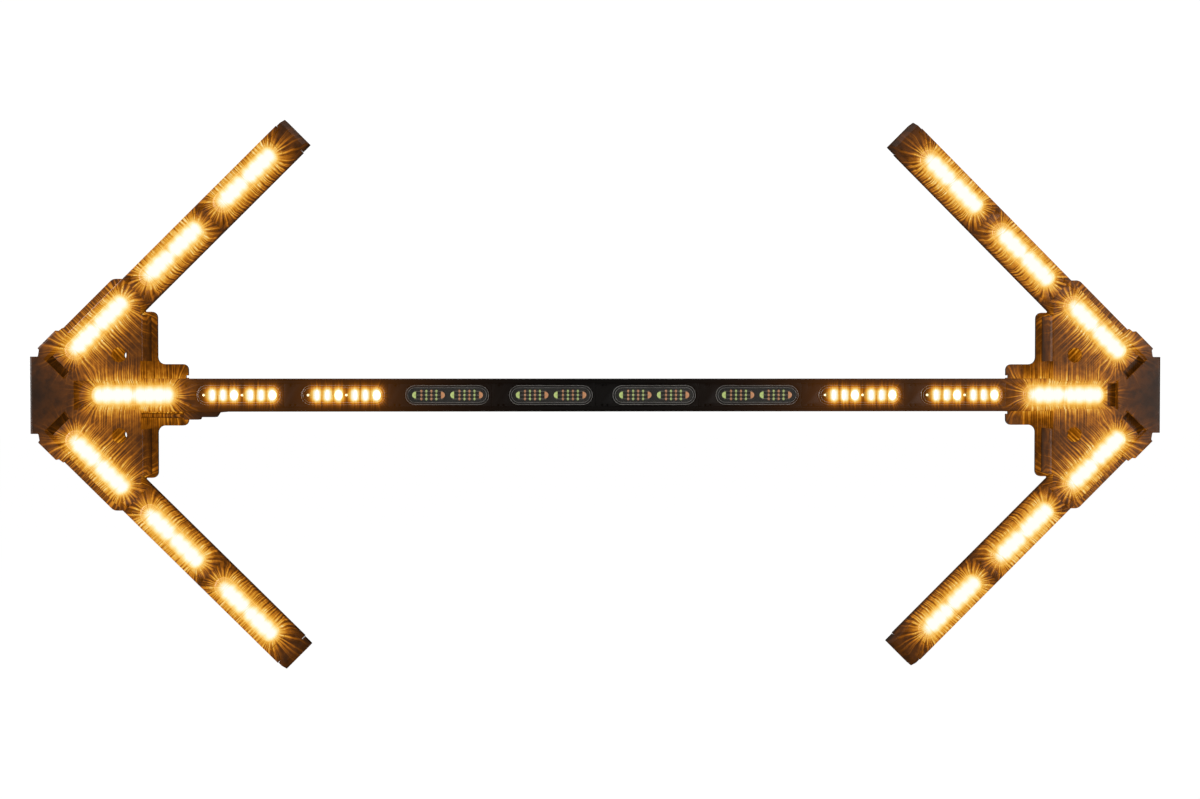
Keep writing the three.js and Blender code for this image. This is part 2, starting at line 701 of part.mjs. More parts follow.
const ARMS = [
  { name: "upper_left", x: -ARM_CROSSING, turn: -Math.PI / 4 },
  { name: "upper_right", x: ARM_CROSSING, turn: (-3 * Math.PI) / 4 },
  { name: "lower_left", x: -ARM_CROSSING, turn: Math.PI / 4 },
  { name: "lower_right", x: ARM_CROSSING, turn: (3 * Math.PI) / 4 },
];

for (const { name, x, turn } of ARMS) {
  const arm = new THREE.Group();
  arm.position.x = x;
  arm.rotation.y = turn;
  board.add(arm);
  add(arm, `${name}_housing`, housing(ARM_START, ARM_END), anodised);
  add(arm, `${name}_circuit_board`, circuit(ARM_START + 1, LAMPS_END), circuitBoard);
  add(arm, `${name}_inner_cap`, plainCap(ARM_START - GAP, -1), mouldedBlack);
  add(arm, `${name}_tip_cap`, tipCap(LAMPS_END, ARM_END), mouldedBlack);
  add(arm, `${name}_clamp`, clamp(ARM_CLAMP), zincSteel);
  for (let k = 0; k < ARM_MODULES; k += 1) {
    const start = LAMPS_END - (ARM_MODULES - k) * MODULE_PITCH;
    const from = k === 0 ? start + FIRST_TRIM : start;
    const solid = lampModule(from, start + MODULE_PITCH, start + MODULE_PITCH / 2 + LENS_SHIFT);
    add(arm, `${name}_module_${k + 1}`, solid, litLens);
  }
}

// ---------------------------------------------------------------- the two hubs

for (const [side, turn] of [["left", Math.PI], ["right", 0]]) {
  const hub = new THREE.Group();
  hub.rotation.y = turn;
  board.add(hub);
  add(hub, `hub_plate_${side}`, hubPlate(side === "left"), powderCoat);
  add(hub, `hub_cover_${side}`, hubCover(), powderCoat);
  add(hub, `hub_loom_${side}`, hubLoom(), leadRubber);
  add(hub, `bar_clamp_${side}`, clamp(APEX - CLAMP_SETBACK), zincSteel);
}

const [inletX, inletZ] = inletPlace().map((value) => -value);
const shoeX = -(APEX - TAB_REACH) + GAP;
add(board, "power_inlet", powerInlet(inletX, inletZ), mouldedBlack);
add(board, "supply_lead", supplyLead(inletX, inletZ, shoeX), leadRubber);
add(board, "feed_shoe", feedShoe(shoeX), leadRubber);

export default board;
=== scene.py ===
# %% [markdown]
# # Looks for a double-headed LED arrow board
# One long light stick and four short ones are joined by two steel hubs. The solid model fixes every size.
# This lesson adds what a solid model leaves out: moulded bezels, lenses, emitters, screws and finishes.

# %% Load the frame
import math

import bmesh
import bpy
from mathutils import Matrix, Vector


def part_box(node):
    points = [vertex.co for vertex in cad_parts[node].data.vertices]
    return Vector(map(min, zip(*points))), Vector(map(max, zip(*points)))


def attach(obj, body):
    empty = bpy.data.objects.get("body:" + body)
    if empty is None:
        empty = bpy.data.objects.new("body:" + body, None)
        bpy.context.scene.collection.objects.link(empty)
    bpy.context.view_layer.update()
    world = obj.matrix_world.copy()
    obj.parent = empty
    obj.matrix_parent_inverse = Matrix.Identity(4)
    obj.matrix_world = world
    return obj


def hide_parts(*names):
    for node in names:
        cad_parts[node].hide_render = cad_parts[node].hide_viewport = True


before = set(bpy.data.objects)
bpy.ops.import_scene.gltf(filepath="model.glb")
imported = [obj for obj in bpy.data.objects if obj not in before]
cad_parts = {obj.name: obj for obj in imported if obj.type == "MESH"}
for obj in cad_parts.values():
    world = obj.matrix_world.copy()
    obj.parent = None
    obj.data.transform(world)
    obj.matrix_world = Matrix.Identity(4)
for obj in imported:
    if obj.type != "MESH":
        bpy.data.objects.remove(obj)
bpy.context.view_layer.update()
MM = 0.001
print("frame:", len(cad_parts), "nodes")

# %% [markdown]
# ## Camera
# The board is seen from straight in front, a little to its left and just above its middle, with a normal
# lens. A camera could be aimed with a constraint. Plain angles are easier to check, so they are used here.

# %% Camera
CAMERA_DISTANCE = 1442.5 * MM
CAMERA_SIDE = -37.5 * MM
CAMERA_HEIGHT = 19.8 * MM
CAMERA_TURN = 0.02565
CAMERA_TILT = -0.01696
FOCAL_LENGTH = 42.857
SENSOR_WIDTH = 36

camera = bpy.data.objects.new("camera", bpy.data.cameras.new("camera"))
camera.data.lens = FOCAL_LENGTH
camera.data.sensor_width = SENSOR_WIDTH
camera.location = (CAMERA_SIDE, -CAMERA_DISTANCE, CAMERA_HEIGHT)
camera.rotation_euler = (math.pi / 2 + CAMERA_TILT, 0, -CAMERA_TURN)
bpy.context.scene.collection.objects.link(camera)
bpy.context.scene.camera = camera
print("camera", [round(v, 3) for v in camera.location])

# %% [markdown]
# ## Small helpers for shader nodes
# Shader trees can be drawn by hand or written out socket by socket. A helper that adds one node and returns
# its output keeps a long sum readable, so each formula below reads from top to bottom.


# %% Node helpers
class Tree:
    """Adds nodes to one shader tree and returns their outputs."""

    def __init__(self, tree):
        self.tree = tree

    def plug(self, socket, value):
        if isinstance(value, bpy.types.NodeSocket):
            self.tree.links.new(value, socket)
        else:
            socket.default_value = value

    def node(self, kind, inputs=None, **settings):
        made = self.tree.nodes.new(kind)
        for key, value in settings.items():
            setattr(made, key, value)
        for key, value in (inputs or {}).items():
            self.plug(made.inputs[key], value)
        return made

    def object_place(self):
        return self.node("ShaderNodeTexCoord").outputs["Object"]

    def noise(self, inputs, **settings):
        return self.node("ShaderNodeTexNoise", inputs, **settings).outputs[0]

    def sum(self, operation, *values, clamp=False):
        made = self.node("ShaderNodeMath", operation=operation, use_clamp=clamp)
        for socket, value in zip(made.inputs, values):
            self.plug(socket, value)
        return made.outputs[0]

    def add(self, one, other):
        return self.sum("ADD", one, other)

    def minus(self, one, other):
        return self.sum("SUBTRACT", one, other)

    def times(self, one, other):
        return self.sum("MULTIPLY", one, other)

    def over(self, one, other):
        return self.sum("DIVIDE", one, other)

    def between(self, value, low, high):
        return self.sum("MINIMUM", self.sum("MAXIMUM", value, low), high)

    def length(self, one, other):
        return self.sum("SQRT", self.add(self.sum("POWER", one, 2.0), self.sum("POWER", other, 2.0)))

    def fall(self, value, reach):
        """Falls off with distance, to about a third at its reach."""
        return self.sum("EXPONENT", self.over(value, -reach))

    def ramp(self, value, stops):
        made = self.node("ShaderNodeValToRGB", {"Fac": value})
        band = made.color_ramp
        while len(band.elements) < len(stops):
            band.elements.new(0.5)
        for element, (place, colour) in zip(band.elements, stops):
            element.position = place
            element.color = (*colour, 1)
        return made.outputs["Color"]

    def spread(self, value, low, high, to_low, to_high, kind="LINEAR"):
        inputs = {"Value": value, "From Min": low, "From Max": high, "To Min": to_low, "To Max": to_high}
        return self.node("ShaderNodeMapRange", inputs, interpolation_type=kind).outputs["Result"]

    def blend(self, share, one, other):
        made = self.node("ShaderNodeMix", data_type="RGBA", blend_type="MIX")
        self.plug(made.inputs["Factor"], share)
        self.plug(made.inputs["A"], one)
        self.plug(made.inputs["B"], other)
        return made.outputs["Result"]


FLOAT = "NodeSocketFloat"
COLOUR = "NodeSocketColor"


def new_group(name, inputs, outputs):
    """A shader node group with named sockets; returns it, its helper, its inputs and its output node."""
    group = bpy.data.node_groups.new(name, "ShaderNodeTree")
    for label, kind, value in inputs:
        socket = group.interface.new_socket(label, in_out="INPUT", socket_type=kind)
        socket.default_value = value
    for label, kind in outputs:
        group.interface.new_socket(label, in_out="OUTPUT", socket_type=kind)
    tree = Tree(group)
    given = tree.node("NodeGroupInput").outputs
    return group, tree, given, tree.node("NodeGroupOutput").inputs


def new_material(name):
    """A material with an empty Principled shader; returns it, its helper and the shader."""
    material = bpy.data.materials.new(name)
    material.use_nodes = True
    tree = Tree(material.node_tree)
    return material, tree, material.node_tree.nodes["Principled BSDF"]


def use_group(tree, group, **inputs):
    made = tree.node("ShaderNodeGroup", node_tree=group)
    for label, value in inputs.items():
        tree.plug(made.inputs[label.replace("_", " ")], value)
    return made.outputs


def grey(level):
    return (level, level, level, 1)


print("node helpers: Tree, new_group, new_material, use_group, grey")

# %% [markdown]
# ## Where each stick lies
# A stick is easiest to detail lying flat, with its length along X. The bar already lies so. Each arm stands
# at 45 degrees, and its own frame starts where its axis crosses the axis of the bar. The frames are worked
# out from the boxes of the housings, so they follow the solid model if a size changes there.


# %% Stick frames
def arm_frame(name):
    low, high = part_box(f"{name}_housing")
    middle = (low + high) / 2
    side = math.copysign(1, middle.x)
    level = math.copysign(1, middle.z)
    crossing = side * (abs(middle.x) + abs(middle.z))
    turn = -level * (math.pi / 4 if side < 0 else 3 * math.pi / 4)
    return Matrix.Translation((crossing, 0, 0)) @ Matrix.Rotation(turn, 4, "Y")


ARMS = ["upper_left", "upper_right", "lower_left", "lower_right"]
STICKS = {"bar": Matrix.Identity(4), **{name: arm_frame(name) for name in ARMS}}


def local_box(node, stick):
    """The corners of a node in its stick's own frame."""
    inverse = STICKS[stick].inverted()
    points = [inverse @ vertex.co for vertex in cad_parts[node].data.vertices]
    low = Vector([min(point[axis] for point in points) for axis in range(3)])
    high = Vector([max(point[axis] for point in points) for axis in range(3)])
    return low, high


MODULES = {}
for name in sorted(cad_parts):
    if "_module_" in name:
        stick = name.split("_module_")[0]
        MODULES[name] = (stick, *local_box(name, stick))

PITCH = MODULES["bar_module_02"][1].x - MODULES["bar_module_01"][1].x
CROSSING = abs(STICKS["upper_left"].translation.x)
STICK_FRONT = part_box("bar_housing")[0].y
print("modules:", len(MODULES), "pitch", round(PITCH / MM, 2), "crossing", round(CROSSING / MM, 2))

# %% [markdown]
# ## Lamp module sizes
# Every module is the same moulding: a bezel, a long lens with round ends in a shallow recess, and two
# groups of six emitter columns behind it. The first module of an arm is only cut shorter at its snap end.
# So the lens is placed from the far end of its module.

# %% Lamp module sizes
BEZEL_RECESS = 0.9 * MM
BEZEL_HALF = 11.5 * MM
FLANGE_HALF = 14.2 * MM
FLANGE_FRONT = 2.1 * MM
TRAY_FLOOR = 4.8 * MM
BODY_BACK = 5.3 * MM
LENS_LENGTH = 83 * MM
LENS_RADIUS = 9.5 * MM
LENS_TO_END = 44.5 * MM
RECESS_RADIUS = 11 * MM
RECESS_DEPTH = 0.8 * MM
GROUP_START = [8.5 * MM, 46.5 * MM]
COLUMNS = [0, 7.0 * MM, 12.0 * MM, 17.0 * MM, 22.0 * MM, 28.3 * MM]
SPINE = LENS_LENGTH / 2 - LENS_RADIUS


def lens_centre(node):
    return MODULES[node][2].x - LENS_TO_END


BAR_LENS = lens_centre("bar_module_01")
ARM_LENS = lens_centre("upper_left_module_1")
FULLY_LIT = {"bar_module_01", "bar_module_10"} | {name for name in MODULES if not name.startswith("bar")}
PARTLY_LIT = {f"bar_module_{number:02d}" for number in (2, 3, 8, 9)}
print("first lens of the bar at", round(BAR_LENS / MM, 1), "of an arm at", round(ARM_LENS / MM, 1))

# %% [markdown]
# ## Shader group: place on a stick
# Extrusion lines run along a stick, and light from a lamp fades with distance from its lens. Both need a
# point's place along and across its stick. The board is alike left and right, and above and below, so
# folding X and Z to their positive side lets one sum serve all four arms.

# %% Group stick_place
stick_place, tree, given, made = new_group(
    "stick_place",
    [],
    [(label, FLOAT) for label in ("Bar Along", "Bar Across", "Arm Along", "Arm Across", "Depth")],
)
split = tree.node("ShaderNodeSeparateXYZ", {"Vector": tree.object_place()}).outputs
from_crossing = tree.minus(CROSSING, tree.sum("ABSOLUTE", split["X"]))
height = tree.sum("ABSOLUTE", split["Z"])
tree.plug(made["Bar Along"], split["X"])
tree.plug(made["Bar Across"], split["Z"])
tree.plug(made["Arm Along"], tree.times(tree.add(from_crossing, height), math.sqrt(0.5)))
tree.plug(made["Arm Across"], tree.times(tree.minus(height, from_crossing), math.sqrt(0.5)))
tree.plug(made["Depth"], split["Y"])
print("group stick_place")

# %% [markdown]
# ## Shader group: place by the nearest lamp
# Light is drawn by where a point lies against the nearest lens of a row. This group finds that lens, the
# distance from its outline, and a number that runs along the outline. Streaks are cut from that number:
# noise along it gives rays that leave the lens at right angles, as they do from fluted optics.

# %% Group nearest_lamp
ROW_INPUTS = [(label, FLOAT, 0.0) for label in ("Along", "Across", "First", "Last Number")]
TURN_SHARE = 1.3  # rays round an end, against rays along a side
LAMP_SHIFT = 307.0  # gives each lamp rays of its own
BEND_NOISE = {"Scale": 55.0, "Detail": 1.5}
BEND_SHARE = 0.3
RAY_NOISE = {"Scale": 5.2, "Detail": 3.0, "Roughness": 0.7}
RAY_RANGE = (0.36, 0.68)
END_RANGE = (0.1, 1.0)

nearest_lamp, tree, given, made = new_group(
    "nearest_lamp",
    ROW_INPUTS,
    [(label, FLOAT) for label in ("Offset", "To Spine", "Away", "Ray", "End")],
)
number = tree.sum("ROUND", tree.over(tree.minus(given["Along"], given["First"]), PITCH))
number = tree.between(number, 0.0, given["Last Number"])
lens_at = tree.add(given["First"], tree.times(number, PITCH))
offset = tree.minus(given["Along"], lens_at)
past_end = tree.sum("MAXIMUM", tree.minus(tree.sum("ABSOLUTE", offset), SPINE), 0.0)
to_spine = tree.length(past_end, given["Across"])
bearing = tree.sum("ARCTAN2", given["Across"], tree.times(past_end, tree.sum("SIGN", offset)))
inside = tree.between(offset, -SPINE, SPINE)
line = tree.minus(tree.over(inside, LENS_RADIUS), tree.times(bearing, TURN_SHARE))
line = tree.add(line, tree.times(lens_at, LAMP_SHIFT))
bend = tree.noise({"Vector": tree.object_place(), **BEND_NOISE})
line = tree.add(line, tree.times(bend, BEND_SHARE))
rays = tree.noise({"W": line, **RAY_NOISE}, noise_dimensions="1D")
tree.plug(made["Offset"], offset)
tree.plug(made["To Spine"], to_spine)
tree.plug(made["Away"], tree.sum("MAXIMUM", tree.minus(to_spine, LENS_RADIUS), 0.0))
tree.plug(made["Ray"], tree.spread(rays, *RAY_RANGE, 0.0, 1.0, "SMOOTHSTEP"))
beyond = tree.over(past_end, tree.sum("MAXIMUM", to_spine, MM))
tree.plug(made["End"], tree.spread(beyond, *END_RANGE, 0.0, 1.0, "SMOOTHSTEP"))


def place_by_lamp(tree, given):
    row = {label.replace(" ", "_"): given[label] for label, _, _ in ROW_INPUTS}
    return use_group(tree, nearest_lamp, **row)


print("group nearest_lamp")

# %% [markdown]
# ## Shader group: lamp at full power
# At full power the whole lens is white in its middle and yellow at its edge, with a slight waist between
# the two emitter groups, a ripple from the columns and one narrower end. Outside it a short glow carries
# the streaks and a long faint one tints the black parts.

# %% Group full_lamp
CORE_DROP, CORE_POWER = 0.21, 2.4
NEAR_GLOW, FAR_GLOW = 0.46, 0.35
NEAR_POWER = 1.6
SIDE_FAR, END_FAR = 56 * MM, 31 * MM
SHORT_RAY, LONG_RAY, END_RAY = 5.5 * MM, 27 * MM, 0.62
RAY_POWER = 1.5
WAIST, WAIST_WIDTH = 1.5 * MM, 4.2 * MM
RIPPLE, RIPPLE_PITCH = 0.5 * MM, 10.3 * MM
TAPER = 3.2 * MM
TAPER_ENDS = (24 * MM, 40 * MM)
UNEVEN_OUTSIDE = 0.7
OUTSIDE = (-0.5 * MM, 4 * MM)
MOTTLE_NOISE = {"Scale": 110, "Detail": 4.0, "Roughness": 0.6}
MOTTLE_RANGE, MOTTLE_SHARES = (0.38, 0.6), (0.7, 1.16)
STREAK_SHARES = (-0.16, 0.36)
RAY_FADE = 17 * MM

full_lamp, tree, given, made = new_group(
    "full_lamp",
    [*ROW_INPUTS, ("Dim End", FLOAT, -1.0)],
    [("Light", FLOAT)],
)
near_by = place_by_lamp(tree, given)
centred = tree.over(near_by["Offset"], WAIST_WIDTH)
waist = tree.sum("EXPONENT", tree.times(tree.times(centred, centred), -1.0))
ripple = tree.sum("COSINE", tree.times(near_by["Offset"], 2 * math.pi / RIPPLE_PITCH))
uneven = tree.add(tree.times(waist, WAIST), tree.times(ripple, RIPPLE))
towards = tree.times(near_by["Offset"], given["Dim End"])
uneven = tree.add(uneven, tree.spread(towards, *TAPER_ENDS, 0.0, TAPER, "SMOOTHSTEP"))
within = tree.over(tree.add(near_by["To Spine"], uneven), LENS_RADIUS)
within = tree.between(within, 0.0, 1.0)
core = tree.times(tree.minus(1.0, tree.sum("POWER", within, CORE_POWER)), CORE_DROP)
away = tree.add(near_by["Away"], tree.times(tree.add(uneven, RIPPLE), UNEVEN_OUTSIDE))
outside = tree.spread(near_by["Away"], *OUTSIDE, 0.0, 1.0)
reach = tree.spread(tree.sum("POWER", near_by["Ray"], RAY_POWER), 0.0, 1.0, SHORT_RAY, LONG_RAY)
reach = tree.times(reach, tree.spread(near_by["End"], 0.0, 1.0, 1.0, END_RAY))
near = tree.sum("POWER", tree.over(away, reach), NEAR_POWER)
near = tree.sum("EXPONENT", tree.times(near, -1.0))
far = tree.over(near_by["Away"], tree.spread(near_by["End"], 0.0, 1.0, -SIDE_FAR, -END_FAR))
far = tree.sum("EXPONENT", far)
mottle = tree.noise({"Vector": tree.object_place(), **MOTTLE_NOISE})
fade = tree.fall(near_by["Away"], RAY_FADE)
streak = tree.times(tree.spread(near_by["Ray"], 0.0, 1.0, *STREAK_SHARES), fade)
mottle = tree.times(tree.spread(mottle, *MOTTLE_RANGE, *MOTTLE_SHARES), tree.add(streak, 1.0))
mottle = tree.add(1.0, tree.times(tree.minus(mottle, 1.0), outside))
far = tree.times(far, mottle)
glow = tree.add(tree.times(near, NEAR_GLOW), tree.times(far, FAR_GLOW))
tree.plug(made["Light"], tree.add(core, glow))
print("group full_lamp")

# %% [markdown]
# ## Shader group: lamp at low power
# At low power the lit columns stay apart. In each group of six the second, fourth and sixth are lit, about
# evenly spaced, so the distance from the nearest of three upright bars gives their glow, and the dark end
# of the group comes by itself.

# %% Group low_lamp
GROUPS_APART = 37.5 * MM
GROUP_SPLIT = 4 * MM
FIRST_LIT, LIT_PITCH = -26 * MM, 10.7 * MM
LAST_LIT = 2.0
LIT_HALF, LIT_WIDTH = 2.4 * MM, 1.7 * MM
LOW_PEAK = 0.82
LOW_REACH = (4.675 * MM, 6.6 * MM)
LOW_FAR, LOW_FAR_REACH = 0.16, 45 * MM

low_lamp, tree, given, made = new_group("low_lamp", ROW_INPUTS, [("Light", FLOAT)])
near_by = place_by_lamp(tree, given)
second_group = tree.sum("GREATER_THAN", near_by["Offset"], GROUP_SPLIT)
folded = tree.minus(near_by["Offset"], tree.times(second_group, GROUPS_APART))
number = tree.sum("ROUND", tree.over(tree.minus(folded, FIRST_LIT), LIT_PITCH))
number = tree.between(number, 0.0, LAST_LIT)
beside = tree.minus(folded, tree.add(tree.times(number, LIT_PITCH), FIRST_LIT))
above = tree.sum("MAXIMUM", tree.minus(tree.sum("ABSOLUTE", given["Across"]), LIT_HALF), 0.0)
clear_of = tree.sum("MAXIMUM", tree.minus(tree.length(beside, above), LIT_WIDTH), 0.0)
reach = tree.spread(near_by["Ray"], 0.0, 1.0, *LOW_REACH)
near = tree.sum("POWER", tree.over(clear_of, reach), 2.0)
near = tree.sum("EXPONENT", tree.times(near, -1.0))
far = tree.fall(near_by["Away"], LOW_FAR_REACH)
glow = tree.add(tree.times(near, LOW_PEAK), tree.times(far, LOW_FAR))
tree.plug(made["Light"], glow)
print("group low_lamp")

# %% [markdown]
# ## Shader group: light on the front
# This joins the light of all lamps. The outermost lamp at each end of the bar and all lamps of the arms run
# at full power, the next two along the bar run low, and the four in the middle are off. Added as fourth
# powers, the brightest lamp rules and there is no seam. Light wraps over an edge as if the side were folded
# flat, and fades towards the back, faster on the outer sides, which no other lamp reaches. Faces that look
# backwards get none.

# %% Group spilt_light
SIDE_SHARE, BACK_SHARE = 0.95, 0.25
WRAP, OUTER_WRAP = 0.45, 2.5
WRAP_FADE = (1 * MM, 12 * MM)
SIDE_FACING, BACK_FACING = (-1.0, -0.2), (0.3, 0.8)
JOIN_POWER = 4.0
FAR_FULL, FAR_LOW = 9, 7  # the lamps of the bar that start its rows at the far end
AMBER = [
    (0.0, (0.0, 0.0, 0.0)),
    (0.10, (0.030, 0.009, 0.0005)),
    (0.20, (0.085, 0.023, 0.0006)),
    (0.30, (0.17, 0.049, 0.001)),
    (0.42, (0.30, 0.087, 0.003)),
    (0.55, (0.52, 0.172, 0.009)),
    (0.68, (0.72, 0.305, 0.022)),
    (0.78, (0.85, 0.46, 0.066)),
    (0.87, (0.95, 0.68, 0.235)),
    (0.94, (0.98, 0.87, 0.55)),
    (0.99, (1.0, 0.985, 0.92)),
]

spilt_light, tree, given, made = new_group(
    "spilt_light",
    [("Gain", FLOAT, 1.0)],
    [("Colour", COLOUR)],
)
at = use_group(tree, stick_place)
facing = tree.node("ShaderNodeNewGeometry").outputs["Normal"]
facing = tree.node("ShaderNodeSeparateXYZ", {"Vector": facing}).outputs["Y"]
sideways = tree.spread(facing, *SIDE_FACING, 0.0, 1.0, "SMOOTHSTEP")
behind = tree.sum("MAXIMUM", tree.minus(at["Depth"], STICK_FRONT), 0.0)
behind = tree.times(tree.times(behind, sideways), WRAP)
wrapped = {}
for stick in ("Arm", "Bar"):
    across = at[f"{stick} Across"]
    outer = tree.sum("GREATER_THAN", across, 0.0) if stick == "Arm" else 1.0
    fold = tree.times(behind, tree.add(1.0, tree.times(outer, OUTER_WRAP)))
    wrapped[stick] = tree.add(across, tree.times(tree.sum("SIGN", across), fold))
side = tree.node("ShaderNodeSeparateXYZ", {"Vector": tree.object_place()}).outputs["X"]
side = tree.sum("SIGN", side)
LAMP_ROWS = [
    (full_lamp, "Arm", ARM_LENS, 2.0, {"Dim_End": side}),
    (full_lamp, "Bar", BAR_LENS, 0.0, {"Dim_End": 0.0}),
    (full_lamp, "Bar", BAR_LENS + FAR_FULL * PITCH, 0.0, {"Dim_End": -1.0}),
    (low_lamp, "Bar", BAR_LENS + PITCH, 1.0, {}),
    (low_lamp, "Bar", BAR_LENS + FAR_LOW * PITCH, 1.0, {}),
]
total = None
for group, stick, first, last, more in LAMP_ROWS:
    place = {"Along": at[f"{stick} Along"], "Across": wrapped[stick]}
    found = use_group(tree, group, First=first, Last_Number=last, **place, **more)
    share = tree.sum("POWER", found["Light"], JOIN_POWER)
    total = share if total is None else tree.add(total, share)
light = tree.sum("POWER", total, 1 / JOIN_POWER)
side_share = tree.spread(at["Depth"], *WRAP_FADE, SIDE_SHARE, BACK_SHARE)
front = tree.add(1.0, tree.times(sideways, tree.minus(side_share, 1.0)))
back = tree.spread(facing, *BACK_FACING, 1.0, 0.0)
light = tree.times(tree.times(light, front), tree.times(back, given["Gain"]))
tree.plug(made["Colour"], tree.ramp(light, AMBER))
print("group spilt_light")

# %% [markdown]
# ## Shader group: surface grain
# Powder coat, moulded nylon and rubber all have a fine uneven skin, only at different scales. One group
# makes it from two sizes of noise, with a faint patchiness for dust. Each material sets its own grain and
# depth.

# %% Group surface_grain
GRAIN_NOISE = {"Detail": 4.0, "Roughness": 0.6}
PATCH_NOISE = {"Scale": 18.0, "Detail": 5.0, "Roughness": 0.65}
SPECK_SCALE = 0.35
SPECK_EDGE, SPECK_PATCHES = (0.06, 0.16), (0.55, 0.75)
MIDDLE = (0.3, 0.7)
PATCH_TONE, GRAIN_TONE, SPECK_TONE = 0.6, 0.4, 0.5
SPECK_HEIGHT = 0.3

surface_grain, tree, given, made = new_group(
    "surface_grain",
    [
        ("Grain", FLOAT, 900.0),
        ("Dark", COLOUR, grey(0.02)),
        ("Light", COLOUR, grey(0.05)),
        ("Smooth", FLOAT, 0.4),
        ("Rough", FLOAT, 0.6),
    ],
    [("Colour", COLOUR), ("Roughness", FLOAT), ("Height", FLOAT)],
)
place = tree.object_place()
grain = tree.noise({"Vector": place, "Scale": given["Grain"], **GRAIN_NOISE})
patch = tree.noise({"Vector": place, **PATCH_NOISE})
finer = tree.times(given["Grain"], SPECK_SCALE)
speck = tree.node("ShaderNodeTexVoronoi", {"Vector": place, "Scale": finer}).outputs["Distance"]
dot = tree.spread(speck, *SPECK_EDGE, 1.0, 0.0)
rare = tree.spread(patch, *SPECK_PATCHES, 0.0, 1.0)
tone = tree.add(tree.spread(patch, *MIDDLE, 0.0, PATCH_TONE), tree.times(grain, GRAIN_TONE))
tone = tree.sum("ADD", tone, tree.times(tree.times(dot, rare), SPECK_TONE), clamp=True)
tree.plug(made["Colour"], tree.blend(tone, given["Dark"], given["Light"]))
mix = tree.add(tree.times(patch, 0.5), tree.times(grain, 0.5))
tree.plug(made["Roughness"], tree.spread(mix, *MIDDLE, given["Smooth"], given["Rough"]))
tree.plug(made["Height"], tree.add(grain, tree.times(dot, SPECK_HEIGHT)))
print("group surface_grain")

# %% [markdown]
# ## Shader group: die lines
# An extruded housing carries fine lines that the die scratched along it. They are the same all along the
# stick, so noise over a point's place across the stick and its depth, and hardly over its length, draws
# them.

# %% Group die_lines
LENGTHWISE, CROSSWISE = 4.0, 900.0
LINE_NOISE = {"Scale": 1.0, "Detail": 3.0, "Roughness": 0.7}
LINE_RANGE = (0.35, 0.65)

die_lines, tree, given, made = new_group(
    "die_lines",
    [(label, FLOAT, 0.0) for label in ("Along", "Across", "Depth")],
    [("Height", FLOAT), ("Tone", FLOAT)],
)
stretched = {
    "X": tree.times(given["Along"], LENGTHWISE),
    "Y": tree.times(given["Across"], CROSSWISE),
    "Z": tree.times(given["Depth"], CROSSWISE),
}
stretched = tree.node("ShaderNodeCombineXYZ", stretched).outputs[0]
lines = tree.noise({"Vector": stretched, **LINE_NOISE})
tree.plug(made["Height"], lines)
tree.plug(made["Tone"], tree.spread(lines, *LINE_RANGE, 0.0, 1.0))
print("group die_lines")

# %% [markdown]
# ## Black finishes
# Four black finishes make up the body: anodised extrusion with a silky sheen, powder coat on folded steel,
# matt moulded nylon, and rubber. The anodised one is made twice, with lines along the bar or along an arm.
# All lie near the lamps and take the spilt light as emission, the rubber a little less.


# %% Black finishes
ANODISED_TONES = ((0.005, 0.004, 0.003, 1), (0.013, 0.011, 0.009, 1))
ANODISED_ROUGHNESS = (0.3, 0.46)
DIE_LINE_DEPTH = 0.02 * MM


def raise_bump(tree, shader, height, distance):
    bump = tree.node("ShaderNodeBump", {"Height": height, "Distance": distance})
    tree.plug(shader.inputs["Normal"], bump.outputs[0])


def take_light(tree, shader, gain):
    """Shows the light of the lamps as emission."""
    tree.plug(shader.inputs["Emission Color"], use_group(tree, spilt_light, Gain=gain)["Colour"])
    shader.inputs["Emission Strength"].default_value = 1.0


def skinned(name, grain, dark, light, smooth, rough, depth=0.0):
    """A material with the surface grain, raised if a depth is given."""
    material, tree, shader = new_material(name)
    inputs = {"Grain": grain, "Dark": (*dark, 1), "Light": (*light, 1), "Smooth": smooth, "Rough": rough}
    skin = use_group(tree, surface_grain, **inputs)
    tree.plug(shader.inputs["Base Color"], skin["Colour"])
    tree.plug(shader.inputs["Roughness"], skin["Roughness"])
    if depth:
        raise_bump(tree, shader, skin["Height"], depth)
    return material, tree, shader


def grained(name, grain, dark, light, smooth, rough, depth, spill=0.0, metallic=0.0):
    material, tree, shader = skinned(name, grain, dark, light, smooth, rough, depth)
    shader.inputs["Metallic"].default_value = metallic
    if spill:
        take_light(tree, shader, spill)
    return material


def anodised(name, along, across):
    material, tree, shader = new_material(name)
    at = use_group(tree, stick_place)
    drawn = use_group(tree, die_lines, Along=at[along], Across=at[across], Depth=at["Depth"])
    tree.plug(shader.inputs["Base Color"], tree.blend(drawn["Tone"], *ANODISED_TONES))
    tree.plug(shader.inputs["Roughness"], tree.spread(drawn["Tone"], 0.0, 1.0, *ANODISED_ROUGHNESS))
    raise_bump(tree, shader, drawn["Height"], DIE_LINE_DEPTH)
    take_light(tree, shader, 1.0)
    return material


